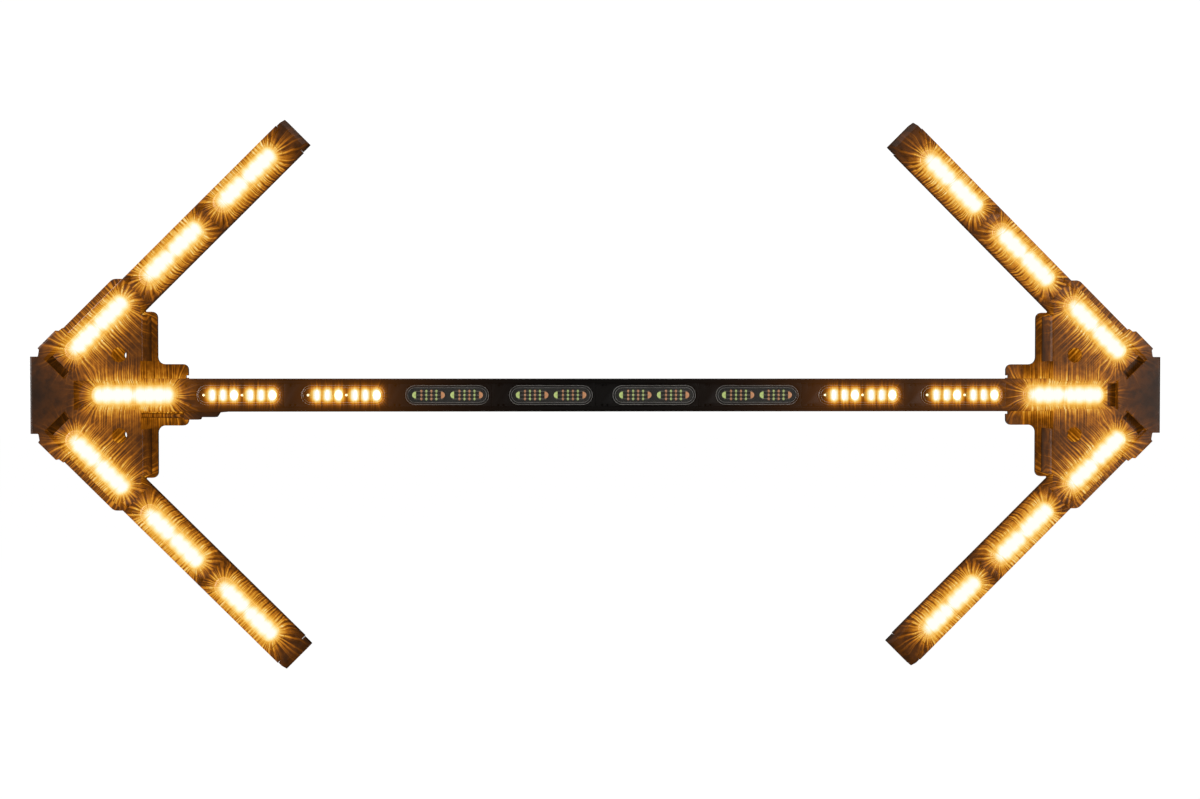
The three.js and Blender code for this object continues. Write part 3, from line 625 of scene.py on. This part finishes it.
anodised_bar = anodised("anodised_bar", "Bar Along", "Bar Across")
anodised_arm = anodised("anodised_arm", "Arm Along", "Arm Across")
powder_coat = grained(
    "powder_coat", 1100, dark=(0.014, 0.011, 0.009), light=(0.024, 0.019, 0.016),
    smooth=0.36, rough=0.46, depth=0.006 * MM, spill=1.0,
)
moulded_black = grained(
    "moulded_black", 1500, dark=(0.006, 0.005, 0.004), light=(0.012, 0.010, 0.008),
    smooth=0.42, rough=0.55, depth=0.003 * MM, spill=1.0,
)
lead_rubber = grained(
    "lead_rubber", 1500, dark=(0.008, 0.007, 0.006), light=(0.016, 0.014, 0.012),
    smooth=0.5, rough=0.68, depth=0.01 * MM, spill=0.8,
)
print("black finishes: 5")

# %% [markdown]
# ## Circuit board and zinc
# The boards lie behind the lamps and only their edges can be seen. Solder mask is a thin glossy film over
# copper traces, black here so that the board stays unseen between the lamps. The screws are zinc-plated
# steel, which has a cool, slightly cloudy shine.

# %% Board and zinc
TRACES = {
    "Scale": 260.0,
    "Mortar Size": 0.06,
    "Color1": (0.008, 0.008, 0.007, 1),
    "Color2": (0.012, 0.011, 0.010, 1),
    "Mortar": (0.03, 0.024, 0.016, 1),
}
MASK_ROUGHNESS = (0.35, 0.25)
TRACE_HEIGHT = 0.03 * MM

solder_mask, tree, shader = new_material("solder_mask")
traces = tree.node("ShaderNodeTexBrick", {"Vector": tree.object_place(), **TRACES}).outputs
tree.plug(shader.inputs["Base Color"], traces["Color"])
tree.plug(shader.inputs["Roughness"], tree.spread(traces["Fac"], 0.0, 1.0, *MASK_ROUGHNESS))
raise_bump(tree, shader, traces["Fac"], TRACE_HEIGHT)
take_light(tree, shader, 0.5)

zinc = grained(
    "zinc_plate", 700, dark=(0.36, 0.35, 0.33), light=(0.62, 0.61, 0.58),
    smooth=0.22, rough=0.42, depth=0.01 * MM, metallic=1.0,
)
print("circuit board and zinc")

# %% [markdown]
# ## Emitters and lenses
# Each column holds three small emitters under clear optics. Unlit, the first, third and fifth columns look
# yellow-green and the others copper; these unlit emitters also get a faint emission, which is painted light,
# since they are not lit. A plain emission on the shader carries over best to other programs, so the lit
# emitters use one. The lens is a thin clear skin, so low alpha shows the emitters without noisy refraction.


# %% Emitters and lenses
def emitter(name, dark, light, glow):
    material, _, shader = skinned(name, 1500, dark, light, smooth=0.2, rough=0.4)
    shader.inputs["Emission Color"].default_value = (*light, 1)
    shader.inputs["Emission Strength"].default_value = glow
    return material


def lens(name, alpha, dark, light, spill=0.0):
    material, tree, shader = skinned(name, 900, dark, light, smooth=0.05, rough=0.14)
    shader.inputs["Alpha"].default_value = alpha
    if spill:
        take_light(tree, shader, spill)
    return material


# The glow of the lime and copper emitters is painted light on unlit parts; only lit_emitter stands for a
# lamp.
lime_emitter = emitter("lime_emitter", (0.24, 0.33, 0.11), (0.46, 0.56, 0.19), glow=0.8)
copper_emitter = emitter("copper_emitter", (0.36, 0.16, 0.08), (0.60, 0.28, 0.13), glow=0.7)
lit_emitter = emitter("lit_emitter", (1.0, 0.6, 0.2), (1.0, 0.82, 0.5), glow=9.0)
clear_lens = lens("clear_lens", 0.07, (0.42, 0.41, 0.38), (0.62, 0.60, 0.56))
low_lens = lens("low_lens", 0.8, (0.03, 0.02, 0.01), (0.06, 0.04, 0.02), spill=1.0)
full_lens = lens("full_lens", 1.0, (0.2, 0.15, 0.1), (0.3, 0.22, 0.15), spill=1.0)
tray_grey = grained(
    "tray_grey", 1200, dark=(0.03, 0.028, 0.026), light=(0.08, 0.075, 0.07),
    smooth=0.25, rough=0.45, depth=0.03 * MM,
)
# Beads and ribs of the clear optics: their light grey colour is a painted glint of the clear edges, and they
# also take the spilt lamp light as emission.
clear_rim_glint = grained(
    "clear_rim_glint", 900, dark=(0.30, 0.29, 0.28), light=(0.75, 0.73, 0.70),
    smooth=0.12, rough=0.25, depth=0.01 * MM, spill=0.97,
)
print("emitters and lenses")

# %% [markdown]
# ## Mesh helpers
# The new pieces are made of stacked rings and of flat plates with holes. Rings joined by quads give a lens
# or an emitter. A filled 2D curve with a small bevel gives a plate with rounded edges and clean holes,
# which would be tedious to build face by face.


# %% Mesh helpers
MERGE = 0.001 * MM
SHARP_ANGLE = math.radians(38)


class Shape:
    """Collects bodies in a stick's own frame and makes one mesh piece of them."""

    def __init__(self):
        self.points = []
        self.faces = []
        self.finish = []

    def add(self, points, faces, finish=0):
        start = len(self.points)
        self.points += [tuple(point) for point in points]
        self.faces += [[start + index for index in face] for face in faces]
        self.finish += [finish] * len(faces)

    def rings(self, rings, finish=0):
        count = len(rings[0])
        points = [point for ring in rings for point in ring]
        faces = [list(range(count)), [len(points) - 1 - index for index in range(count)]]
        for row in range(len(rings) - 1):
            for index in range(count):
                after = (index + 1) % count
                base = row * count
                faces.append([base + after, base + index, base + count + index, base + count + after])
        self.add(points, faces, finish)

    def piece(self, name, stick, finishes, stands_for=None):
        mesh = bpy.data.meshes.new(name)
        mesh.from_pydata(self.points, [], self.faces)
        for material in finishes:
            mesh.materials.append(material)
        mesh.polygons.foreach_set("material_index", self.finish)
        edit = bmesh.new()
        edit.from_mesh(mesh)
        bmesh.ops.remove_doubles(edit, verts=edit.verts, dist=MERGE)
        bmesh.ops.recalc_face_normals(edit, faces=edit.faces)
        edit.to_mesh(mesh)
        edit.free()
        mesh.transform(STICKS[stick])
        mesh.shade_smooth()
        mesh.set_sharp_from_angle(angle=SHARP_ANGLE)
        made = bpy.data.objects.new(name, mesh)
        bpy.context.scene.collection.objects.link(made)
        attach(made, "root")
        if stands_for:
            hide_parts(stands_for)
        return made


def stadium(centre, length, radius, depth, steps=8):
    """A ring with round ends, lying in X and Z at one depth."""
    reach = length / 2 - radius
    points = []
    for side in (1, -1):
        for step in range(steps + 1):
            angle = -math.pi / 2 + math.pi * step / steps
            x = centre + side * (reach + radius * math.cos(angle))
            points.append((x, depth, side * radius * math.sin(angle)))
    return points


def lens_ring(centre, radius, depth, steps=8):
    return stadium(centre, 2 * (SPINE + radius), radius, depth, steps)


def rectangle(x0, x1, z0, z1):
    return [(x0, 0, z0), (x1, 0, z0), (x1, 0, z1), (x0, 0, z1)]


def cut_plate(outline, holes, front, back, rounding):
    """Points and faces of a plate between two depths, with holes and rounded edges."""
    curve = bpy.data.curves.new("outline", "CURVE")
    curve.dimensions = "2D"
    curve.fill_mode = "BOTH"
    for loop in [outline, *holes]:
        spline = curve.splines.new("POLY")
        spline.points.add(len(loop) - 1)
        for point, (x, _, z) in zip(spline.points, loop):
            point.co = (x / MM, z / MM, 0, 1)
        spline.use_cyclic_u = True
    curve.extrude = ((back - front) / 2 - rounding) / MM
    curve.bevel_depth = rounding / MM
    curve.bevel_resolution = 1
    curve.offset = -rounding / MM
    holder = bpy.data.objects.new("outline", curve)
    bpy.context.scene.collection.objects.link(holder)
    bpy.context.view_layer.update()
    mesh = bpy.data.meshes.new_from_object(holder.evaluated_get(bpy.context.evaluated_depsgraph_get()))
    middle = (front + back) / 2
    points = [(v.co.x * MM, middle - v.co.z * MM, v.co.y * MM) for v in mesh.vertices]
    faces = [list(face.vertices) for face in mesh.polygons]
    bpy.data.objects.remove(holder)
    bpy.data.curves.remove(curve)
    bpy.data.meshes.remove(mesh)
    return points, faces


print("mesh helpers: Shape, stadium, lens_ring, rectangle, cut_plate")

# %% [markdown]
# ## Bezels
# The bezel is a black moulding that clips in behind the lips of the housing. It has a shallow round-ended
# recess for the lens, and small notches by its snap end where a blade can release it. It is built as four
# stacked plates: the face, the floor of the recess, the flange behind the lips, and the back of the tray.

# %% Bezels
JOINT = 0.15 * MM
NOTCH_PLACE = 9 * MM
NOTCH_WIDTH = 6 * MM
NOTCH_DEPTH = 2.4 * MM
POCKET = 2.2 * MM
POCKET_APART = 5 * MM
EDGE = 0.25 * MM
NOTCH_RIM = 0.5 * MM


def notches(end):
    """Outlines of the release notch and the two small pockets beside a module's snap end."""
    middle = end - PITCH + NOTCH_PLACE
    top = BEZEL_HALF - NOTCH_RIM
    found = [rectangle(middle - NOTCH_WIDTH / 2, middle + NOTCH_WIDTH / 2, top - NOTCH_DEPTH, top)]
    for side in (-1, 1):
        place = middle + side * POCKET_APART / 2
        found.append(rectangle(place - POCKET / 2, place + POCKET / 2, -top, -top + POCKET))
    return found


def bezel(node):
    stick, low, high = MODULES[node]
    centre = lens_centre(node)
    x0, x1 = low.x, high.x
    face = STICK_FRONT + BEZEL_RECESS
    flange = STICK_FRONT + FLANGE_FRONT
    tray = STICK_FRONT + TRAY_FLOOR
    shape = Shape()
    kept = [loop for loop in notches(high.x + JOINT) if loop[0][0] > x0 + EDGE]
    holes = [lens_ring(centre, RECESS_RADIUS, 0), *kept]
    outline = rectangle(x0, x1, -BEZEL_HALF, BEZEL_HALF)
    wide = rectangle(x0, x1, -FLANGE_HALF, FLANGE_HALF)
    opening = lens_ring(centre, LENS_RADIUS + 2 * JOINT, 0)
    floor = lens_ring(centre, RECESS_RADIUS + EDGE, 0)
    shape.add(*cut_plate(outline, holes, face, flange, EDGE))
    shape.add(*cut_plate(floor, [opening], face + RECESS_DEPTH, flange, EDGE / 2))
    shape.add(*cut_plate(wide, [opening], flange, tray, EDGE))
    shape.add(*cut_plate(wide, [], tray, STICK_FRONT + BODY_BACK, EDGE / 2))
    return shape.piece(f"{node}_bezel", stick, [moulded_black], node)


bezels = [bezel(node) for node in MODULES]
print("bezels:", len(bezels), "faces each", len(bezels[0].data.polygons))

# %% [markdown]
# ## Emitters behind each lens
# Two groups of six columns sit on a grey tray, each column being three small domes. The outer column of
# each group ends in a half-moon reflector. Fine ribs of the clear optics run along the three rows. In a
# module that runs at low power every second column is lit, and its glare shows as an upright bar.

# %% Emitters
ROW_APART = 3.9 * MM
ROWS = (-1, 0, 1)
DOME_WIDTH = 1.15 * MM
DOME_TALL = 1.35 * MM
DOME_RISE = 1.4 * MM
DOME_PROFILE = [(1, 0), (1, 0.5), (0.75, 0.85), (0.35, 1)]
MOON_RADIUS = 3.5 * MM
MOON_WIDTH = 3.8 * MM
MOON_SETBACK = 1.6 * MM
MOON_PROFILE = [(1, 0.25 * MM), (0.97, 1.1 * MM), (0.8, 1.5 * MM)]
RIB = 0.22 * MM
RIB_SECTION = ((-1, 0), (0, 1), (1, 0), (0, -1))
TRAY = 0.4 * MM
TRAY_MARGIN = 1 * MM
FIRST_COLUMN, LAST_COLUMN = 0, len(COLUMNS) - 1
LIME_FINISH, COPPER_FINISH, TRAY_FINISH, RIB_FINISH = range(4)


def oval(x, z, half_width, half_height, depth, count=10):
    points = []
    for step in range(count):
        angle = 2 * math.pi * step / count
        points.append((x + half_width * math.cos(angle), depth, z - half_height * math.sin(angle)))
    return points


def moon(x, side, size, depth, steps=8):
    """A half-moon outline whose round side faces left or right."""
    wide = side * MOON_WIDTH * size
    tall = side * MOON_RADIUS * size
    points = [(x, depth, -tall)]
    for step in range(1, steps):
        angle = -math.pi / 2 + math.pi * step / steps
        points.append((x + wide * math.cos(angle), depth, tall * math.sin(angle)))
    points.append((x, depth, tall))
    return points


def dome(shape, x, z, floor, finish):
    rings = []
    for size, rise in DOME_PROFILE:
        rings.append(oval(x, z, DOME_WIDTH * size, DOME_TALL * size, floor - DOME_RISE * rise))
    shape.rings(rings, finish)


def columns(node):
    """Places of the emitter columns of a module: where, which number in its group."""
    start = lens_centre(node) - LENS_LENGTH / 2
    return [(start + group + place, number) for group in GROUP_START for number, place in enumerate(COLUMNS)]


def emitters(node):
    stick = MODULES[node][0]
    lit = node in FULLY_LIT or node in PARTLY_LIT
    floor = STICK_FRONT + TRAY_FLOOR - TRAY
    centre = lens_centre(node)
    shape = Shape()
    inner = LENS_RADIUS - TRAY_MARGIN
    tray = [(inner, floor + TRAY), (inner, floor), (inner - EDGE, floor - EDGE)]
    shape.rings([lens_ring(centre, radius, depth) for radius, depth in tray], TRAY_FINISH)
    for x, number in columns(node):
        finish = COPPER_FINISH if number % 2 else LIME_FINISH
        if number in (FIRST_COLUMN, LAST_COLUMN):
            side = -1 if number == FIRST_COLUMN else 1
            foot = x - side * MOON_SETBACK
            reflector = [moon(foot, side, size, floor - rise) for size, rise in MOON_PROFILE]
            shape.rings(reflector, finish)
            continue
        for row in ROWS:
            dome(shape, x, row * ROW_APART, floor, finish)
    for group in GROUP_START:
        x0 = centre - LENS_LENGTH / 2 + group
        for row in ROWS:
            depth = floor - DOME_RISE - RIB
            z = row * ROW_APART
            section = [(depth + dy * RIB, z + dz * RIB) for dy, dz in RIB_SECTION]
            ends = [[(x, py, pz) for py, pz in section] for x in (x0, x0 + COLUMNS[-1])]
            shape.rings(ends, RIB_FINISH)
    finishes = [lime_emitter, lit_emitter if lit else copper_emitter, tray_grey, clear_rim_glint]
    return shape.piece(f"{node}_emitters", stick, finishes, node)


emitter_boards = [emitters(node) for node in MODULES]
print("emitter trays:", len(emitter_boards), "faces each", len(emitter_boards[0].data.polygons))

# %% [markdown]
# ## Glare of the lit columns
# A lit column is far brighter than its surroundings, and the clear optics smear it into one upright bar, or
# a round patch at the half-moon. Flat glowing slips just under the lens paint this glare from any side, and
# a small glowing dot beside the first column of each group is a painted glint on its half-moon reflector.


# %% Glare
GLARE_DEPTH = 2.4 * MM
GLARE_HALF = 4.4 * MM
GLARE_WIDTH = 1.65 * MM
GLARE_ROUND = 4.0 * MM
ROUND_STRETCH = 1.15
GLARE_STEPS = 20
GLARE_PROFILE = [(1, 1, EDGE), (1, 1, 0), (0.8, 0.9, -EDGE)]
# Painted glints: small glowing dots on the half-moon of the first column of each group.
GLINT_PLACES = [6.5 * MM, 44.5 * MM]
GLINT_RADIUS = 1.2 * MM
GLINT_PROFILE = [(1, 0), (0.9, EDGE), (0.5, 2 * EDGE)]


def glare(node):
    stick = MODULES[node][0]
    depth = STICK_FRONT + GLARE_DEPTH
    shape = Shape()
    for x, number in columns(node):
        if number % 2 == 0:
            continue
        wide = GLARE_ROUND if number == LAST_COLUMN else GLARE_WIDTH
        tall = GLARE_ROUND * ROUND_STRETCH if number == LAST_COLUMN else GLARE_HALF
        slip = []
        for width, height, drop in GLARE_PROFILE:
            slip.append(oval(x, 0, wide * width, tall * height, depth + drop, GLARE_STEPS))
        shape.rings(slip)
    start = lens_centre(node) - LENS_LENGTH / 2
    # Each painted glint is a small glowing dome in the lit emitter finish, not a lamp.
    for place in GLINT_PLACES:
        glint = []
        for share, lift in GLINT_PROFILE:
            glint.append(oval(start + place, 0, GLINT_RADIUS * share, GLINT_RADIUS * share, depth - lift))
        shape.rings(glint)
    return shape.piece(f"{node}_glare", stick, [lit_emitter])


glares = [glare(node) for node in sorted(PARTLY_LIT)]
print("glare slips:", len(glares))

# %% [markdown]
# ## Lenses
# The lens is a shallow clear moulding with straight sides, a rounded shoulder and a nearly flat crown. A
# bead runs round its foot and a finer one inside its shoulder; their light grey colour paints the glint of
# the clear edges as two thin concentric lines.

# %% Lenses
LENS_FOOT = 3.0 * MM
LENS_CROWN = 0.3 * MM
LENS_PROFILE = [
    (0, LENS_FOOT),
    (0, 1.1 * MM),
    (-0.5 * MM, 0.55 * MM),
    (-1.6 * MM, LENS_CROWN),
    (-5 * MM, LENS_CROWN - 0.05 * MM),
]
LENS_STEPS = 12
BEAD = 0.28 * MM
BEADS = [(0, 1.3 * MM, BEAD), (-2.2 * MM, LENS_CROWN, BEAD * 0.6)]
BEAD_STEPS = 10
SKIN_FINISH, BEAD_FINISH = range(2)


def bead(shape, centre, radius, depth, size):
    """A thin ring of square section that follows the lens."""
    loops = []
    for dr, dy in ((-size, 0), (0, -size), (size, 0), (0, size)):
        loops.append(lens_ring(centre, radius + dr, depth + dy, BEAD_STEPS))
    count = len(loops[0])
    points = [point for loop in loops for point in loop]
    faces = []
    for row in range(len(loops)):
        here = row * count
        below = (row + 1) % len(loops) * count
        for index in range(count):
            after = (index + 1) % count
            faces.append([here + index, here + after, below + after, below + index])
    shape.add(points, faces, BEAD_FINISH)


def lens_cover(node):
    stick = MODULES[node][0]
    centre = lens_centre(node)
    shape = Shape()
    rings = []
    for grow, depth in LENS_PROFILE:
        rings.append(lens_ring(centre, LENS_RADIUS + grow, STICK_FRONT + depth, LENS_STEPS))
    shape.rings(rings, SKIN_FINISH)
    for grow, depth, size in BEADS:
        bead(shape, centre, LENS_RADIUS + grow, STICK_FRONT + depth, size)
    finish = full_lens if node in FULLY_LIT else low_lens if node in PARTLY_LIT else clear_lens
    return shape.piece(f"{node}_lens", stick, [finish, clear_rim_glint], node)


lenses = [lens_cover(node) for node in MODULES]
print("lenses:", len(lenses), "faces each", len(lenses[0].data.polygons))

# %% [markdown]
# ## Finishes on the solid parts
# The housings, hubs, caps and wiring have their right shape already, so they keep it and only get a finish.
# Sheet and extrusion edges are never razor sharp: a fine bevel after welding gives them the thin highlight,
# and normals weighted by area keep the flat faces flat.

# %% Finishes on the solid parts
FINISH_OF = {
    "housing": (anodised_bar, 0.25 * MM),
    "hub_plate": (powder_coat, 0.35 * MM),
    "hub_cover": (powder_coat, 0.35 * MM),
    "cap": (moulded_black, 0.3 * MM),
    "power_inlet": (moulded_black, 0.2 * MM),
    "circuit_board": (solder_mask, 0.1 * MM),
    "loom": (lead_rubber, 0.3 * MM),
    "supply_lead": (lead_rubber, 0.0),
    "feed_shoe": (lead_rubber, 0.5 * MM),
}
WELD_REACH = 0.005 * MM
BEVEL_FROM = math.radians(50)
SPLIT_FROM = math.radians(40)
BY_AREA = 100


def dress(name, material, edge):
    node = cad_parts[name]
    node.data.materials.clear()
    node.data.materials.append(material)
    if "custom_normal" in node.data.attributes:
        node.data.attributes.remove(node.data.attributes["custom_normal"])
    node.data.shade_smooth()
    node.modifiers.new("weld", "WELD").merge_threshold = WELD_REACH
    if edge:
        bevel = node.modifiers.new("edge", "BEVEL")
        bevel.width = edge
        bevel.segments = 2
        bevel.limit_method = "ANGLE"
        bevel.angle_limit = BEVEL_FROM
        bevel.harden_normals = False
    split = node.modifiers.new("sharp", "EDGE_SPLIT")
    split.split_angle = SPLIT_FROM
    even = node.modifiers.new("even", "WEIGHTED_NORMAL")
    even.weight = BY_AREA
    even.keep_sharp = True


dressed = 0
for name in sorted(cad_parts):
    found = [entry for key, entry in FINISH_OF.items() if key in name]
    if name in MODULES or "clamp" in name or not found:
        continue
    material, edge = found[0]
    if material is anodised_bar and not name.startswith("bar"):
        material = anodised_arm
    dress(name, material, edge)
    dressed += 1
print("solid parts dressed:", dressed)

# %% [markdown]
# ## Clamp screws
# Each stick is held to its hub by a sunk socket screw that pulls a T-nut against the lips of the rear slot.
# The solid model has one plain body for both. Here the screw gets its hexagon socket and the nut stays a
# block.

# %% Clamp screws
SOCKET_HALF = 1.75 * MM
SOCKET_DEPTH = 1.5 * MM
SOCKET_CHAMFER = 0.15 * MM
HEXAGON = 6
HEAD_RADIUS = 4.5 * MM
HEAD_DEPTH = 2 * MM
HEAD_CHAMFER = 0.2 * MM
SHANK_RADIUS = 2.5 * MM
NUT_THICKNESS = 2.7 * MM
NUT_ROUNDING = 0.3 * MM


def ring_of(radius, depth, x, sides=0, count=24):
    """A round ring, or one pressed to a regular shape with that many sides."""
    points = []
    for step in range(count):
        angle = 2 * math.pi * step / count
        reach = radius
        if sides:
            within = (angle + math.pi / sides) % (2 * math.pi / sides) - math.pi / sides
            reach = radius / math.cos(within)
        points.append((x + reach * math.cos(angle), depth, reach * math.sin(angle)))
    return points


def clamp_screw(node, stick):
    low, high = local_box(node, stick)
    x = (low.x + high.x) / 2
    shape = Shape()
    shape.rings(
        [
            ring_of(SHANK_RADIUS, low.y, x),
            ring_of(SHANK_RADIUS, high.y - HEAD_DEPTH, x),
            ring_of(HEAD_RADIUS - HEAD_CHAMFER, high.y - HEAD_CHAMFER, x),
            ring_of(HEAD_RADIUS - 2 * HEAD_CHAMFER, high.y, x),
            ring_of(SOCKET_HALF + SOCKET_CHAMFER, high.y, x, HEXAGON),
            ring_of(SOCKET_HALF, high.y - SOCKET_CHAMFER, x, HEXAGON),
            ring_of(SOCKET_HALF, high.y - SOCKET_DEPTH, x, HEXAGON),
        ]
    )
    half = (high.z - low.z) / 2 - NUT_ROUNDING
    outline = rectangle(low.x, high.x, -half, half)
    shape.add(*cut_plate(outline, [], low.y, low.y + NUT_THICKNESS, NUT_ROUNDING))
    return shape.piece(f"{node}_screw", stick, [zinc], node)


clamps = [clamp_screw(f"{name}_clamp", name) for name in ARMS]
for side in ("left", "right"):
    clamps.append(clamp_screw(f"bar_clamp_{side}", "bar"))
print("clamp screws:", len(clamps))

# %% [markdown]
# ## Rivets of the covers
# Three lugs of each cover lie against the hub plate and are riveted to it. A low domed head shows at the
# back, over each hole. The places are measured from the edge of the cover, as they would be marked out on
# the steel.

# %% Rivets
LUG_SETBACK = 6.5 * MM
COVER_REACH = 112 * MM
LUG_HEIGHT = 58 * MM
RIVET_RADIUS = 3.6 * MM
RIVET_RISE = 1.1 * MM
RIVET_SHANK = 1.9 * MM
RIVET_LENGTH = 5.2 * MM
RIVET_PROFILE = [
    (RIVET_SHANK, -RIVET_LENGTH),
    (RIVET_SHANK, 0),
    (RIVET_RADIUS, 0),
    (RIVET_RADIUS * 0.93, RIVET_RISE * 0.55),
    (RIVET_RADIUS * 0.6, RIVET_RISE),
    (1.0 * MM, RIVET_RISE),
    (0.8 * MM, RIVET_RISE * 0.45),
]
RIVET_STEPS = 20


def rivet(name, x, z):
    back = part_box("hub_plate_left")[1].y
    rings = []
    for radius, rise in RIVET_PROFILE:
        ring = ring_of(radius, back + rise, x, count=RIVET_STEPS)
        rings.append([(px, py, pz + z) for px, py, pz in ring])
    shape = Shape()
    shape.rings(rings)
    return shape.piece(name, "bar", [zinc])


rivets = []
for side in ("left", "right"):
    low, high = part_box(f"hub_cover_{side}")
    sign = -1 if side == "left" else 1
    apex = high.x if side == "right" else low.x
    nose = apex - sign * LUG_SETBACK
    wing = apex - sign * (COVER_REACH - LUG_SETBACK)
    for label, x, z in (("nose", nose, 0), ("upper", wing, LUG_HEIGHT), ("lower", wing, -LUG_HEIGHT)):
        rivets.append(rivet(f"rivet_{label}_{side}", x, z))
print("rivets:", len(rivets))

# %% [markdown]
# ## Floor and light
# The board hangs on a carrier, well above the ground. A plain white floor and a white surround keep the
# outline clear. Black parts only show their form by what they mirror, so one wide light above, one at each
# side and one behind draw soft lines on the edges, and the front stays dark.

# %% Floor and light
FLOOR_DROP = 0.62
FLOOR_SIZE = 14
FLOOR_CORNERS = ((-1, -1), (1, -1), (1, 1), (-1, 1))
FLOOR_TONES = (grey(0.05), grey(0.07))
FLOOR_SHINE = (grey(0.02), grey(1))
WORLD_SHINE = (grey(0.015), grey(1.05))

floor_white, tree, shader = new_material("floor_white")
mottle = tree.noise({"Vector": tree.object_place(), "Scale": 3.0, "Detail": 3.0})
tree.plug(shader.inputs["Base Color"], tree.blend(mottle, *FLOOR_TONES))
shader.inputs["Roughness"].default_value = 0.9
seen = tree.node("ShaderNodeLightPath").outputs["Is Camera Ray"]
tree.plug(shader.inputs["Emission Color"], tree.blend(seen, *FLOOR_SHINE))
shader.inputs["Emission Strength"].default_value = 1.0

floor_mesh = bpy.data.meshes.new("floor")
corners = [(x * FLOOR_SIZE, y * FLOOR_SIZE, -FLOOR_DROP) for x, y in FLOOR_CORNERS]
floor_mesh.from_pydata(corners, [], [[0, 1, 2, 3]])
floor_mesh.materials.append(floor_white)
floor_piece = bpy.data.objects.new("floor", floor_mesh)
bpy.context.scene.collection.objects.link(floor_piece)

world = bpy.data.worlds.new("studio")
bpy.context.scene.world = world
world.use_nodes = True
tree = Tree(world.node_tree)
seen = tree.node("ShaderNodeLightPath").outputs["Is Camera Ray"]
background = world.node_tree.nodes["Background"]
tree.plug(background.inputs["Color"], tree.blend(seen, *WORLD_SHINE))
background.inputs["Strength"].default_value = 1.0
bpy.context.scene.view_settings.view_transform = "Standard"


def soft_light(name, place, target, size, power):
    data = bpy.data.lights.new(name, "AREA")
    data.shape = "RECTANGLE"
    data.size, data.size_y = size
    data.energy = power
    made = bpy.data.objects.new(name, data)
    made.location = place
    made.rotation_euler = (Vector(target) - Vector(place)).to_track_quat("-Z", "Y").to_euler()
    made.visible_camera = False
    bpy.context.scene.collection.objects.link(made)


soft_light("top_light", place=(0, -0.1, 2.2), target=(0, 0, 0), size=(2.6, 1.0), power=9)
soft_light("left_light", place=(-2.2, -1.0, 0.4), target=(0, 0, 0), size=(0.6, 1.6), power=20)
soft_light("right_light", place=(1.9, -1.7, 0.3), target=(0.5, 0, 0), size=(0.5, 1.4), power=11)
soft_light("back_light", place=(-2.4, 1.5, 0.6), target=(0, 0, 0), size=(1.0, 1.6), power=26)
print("floor", round(-FLOOR_DROP, 2), "and four soft lights")
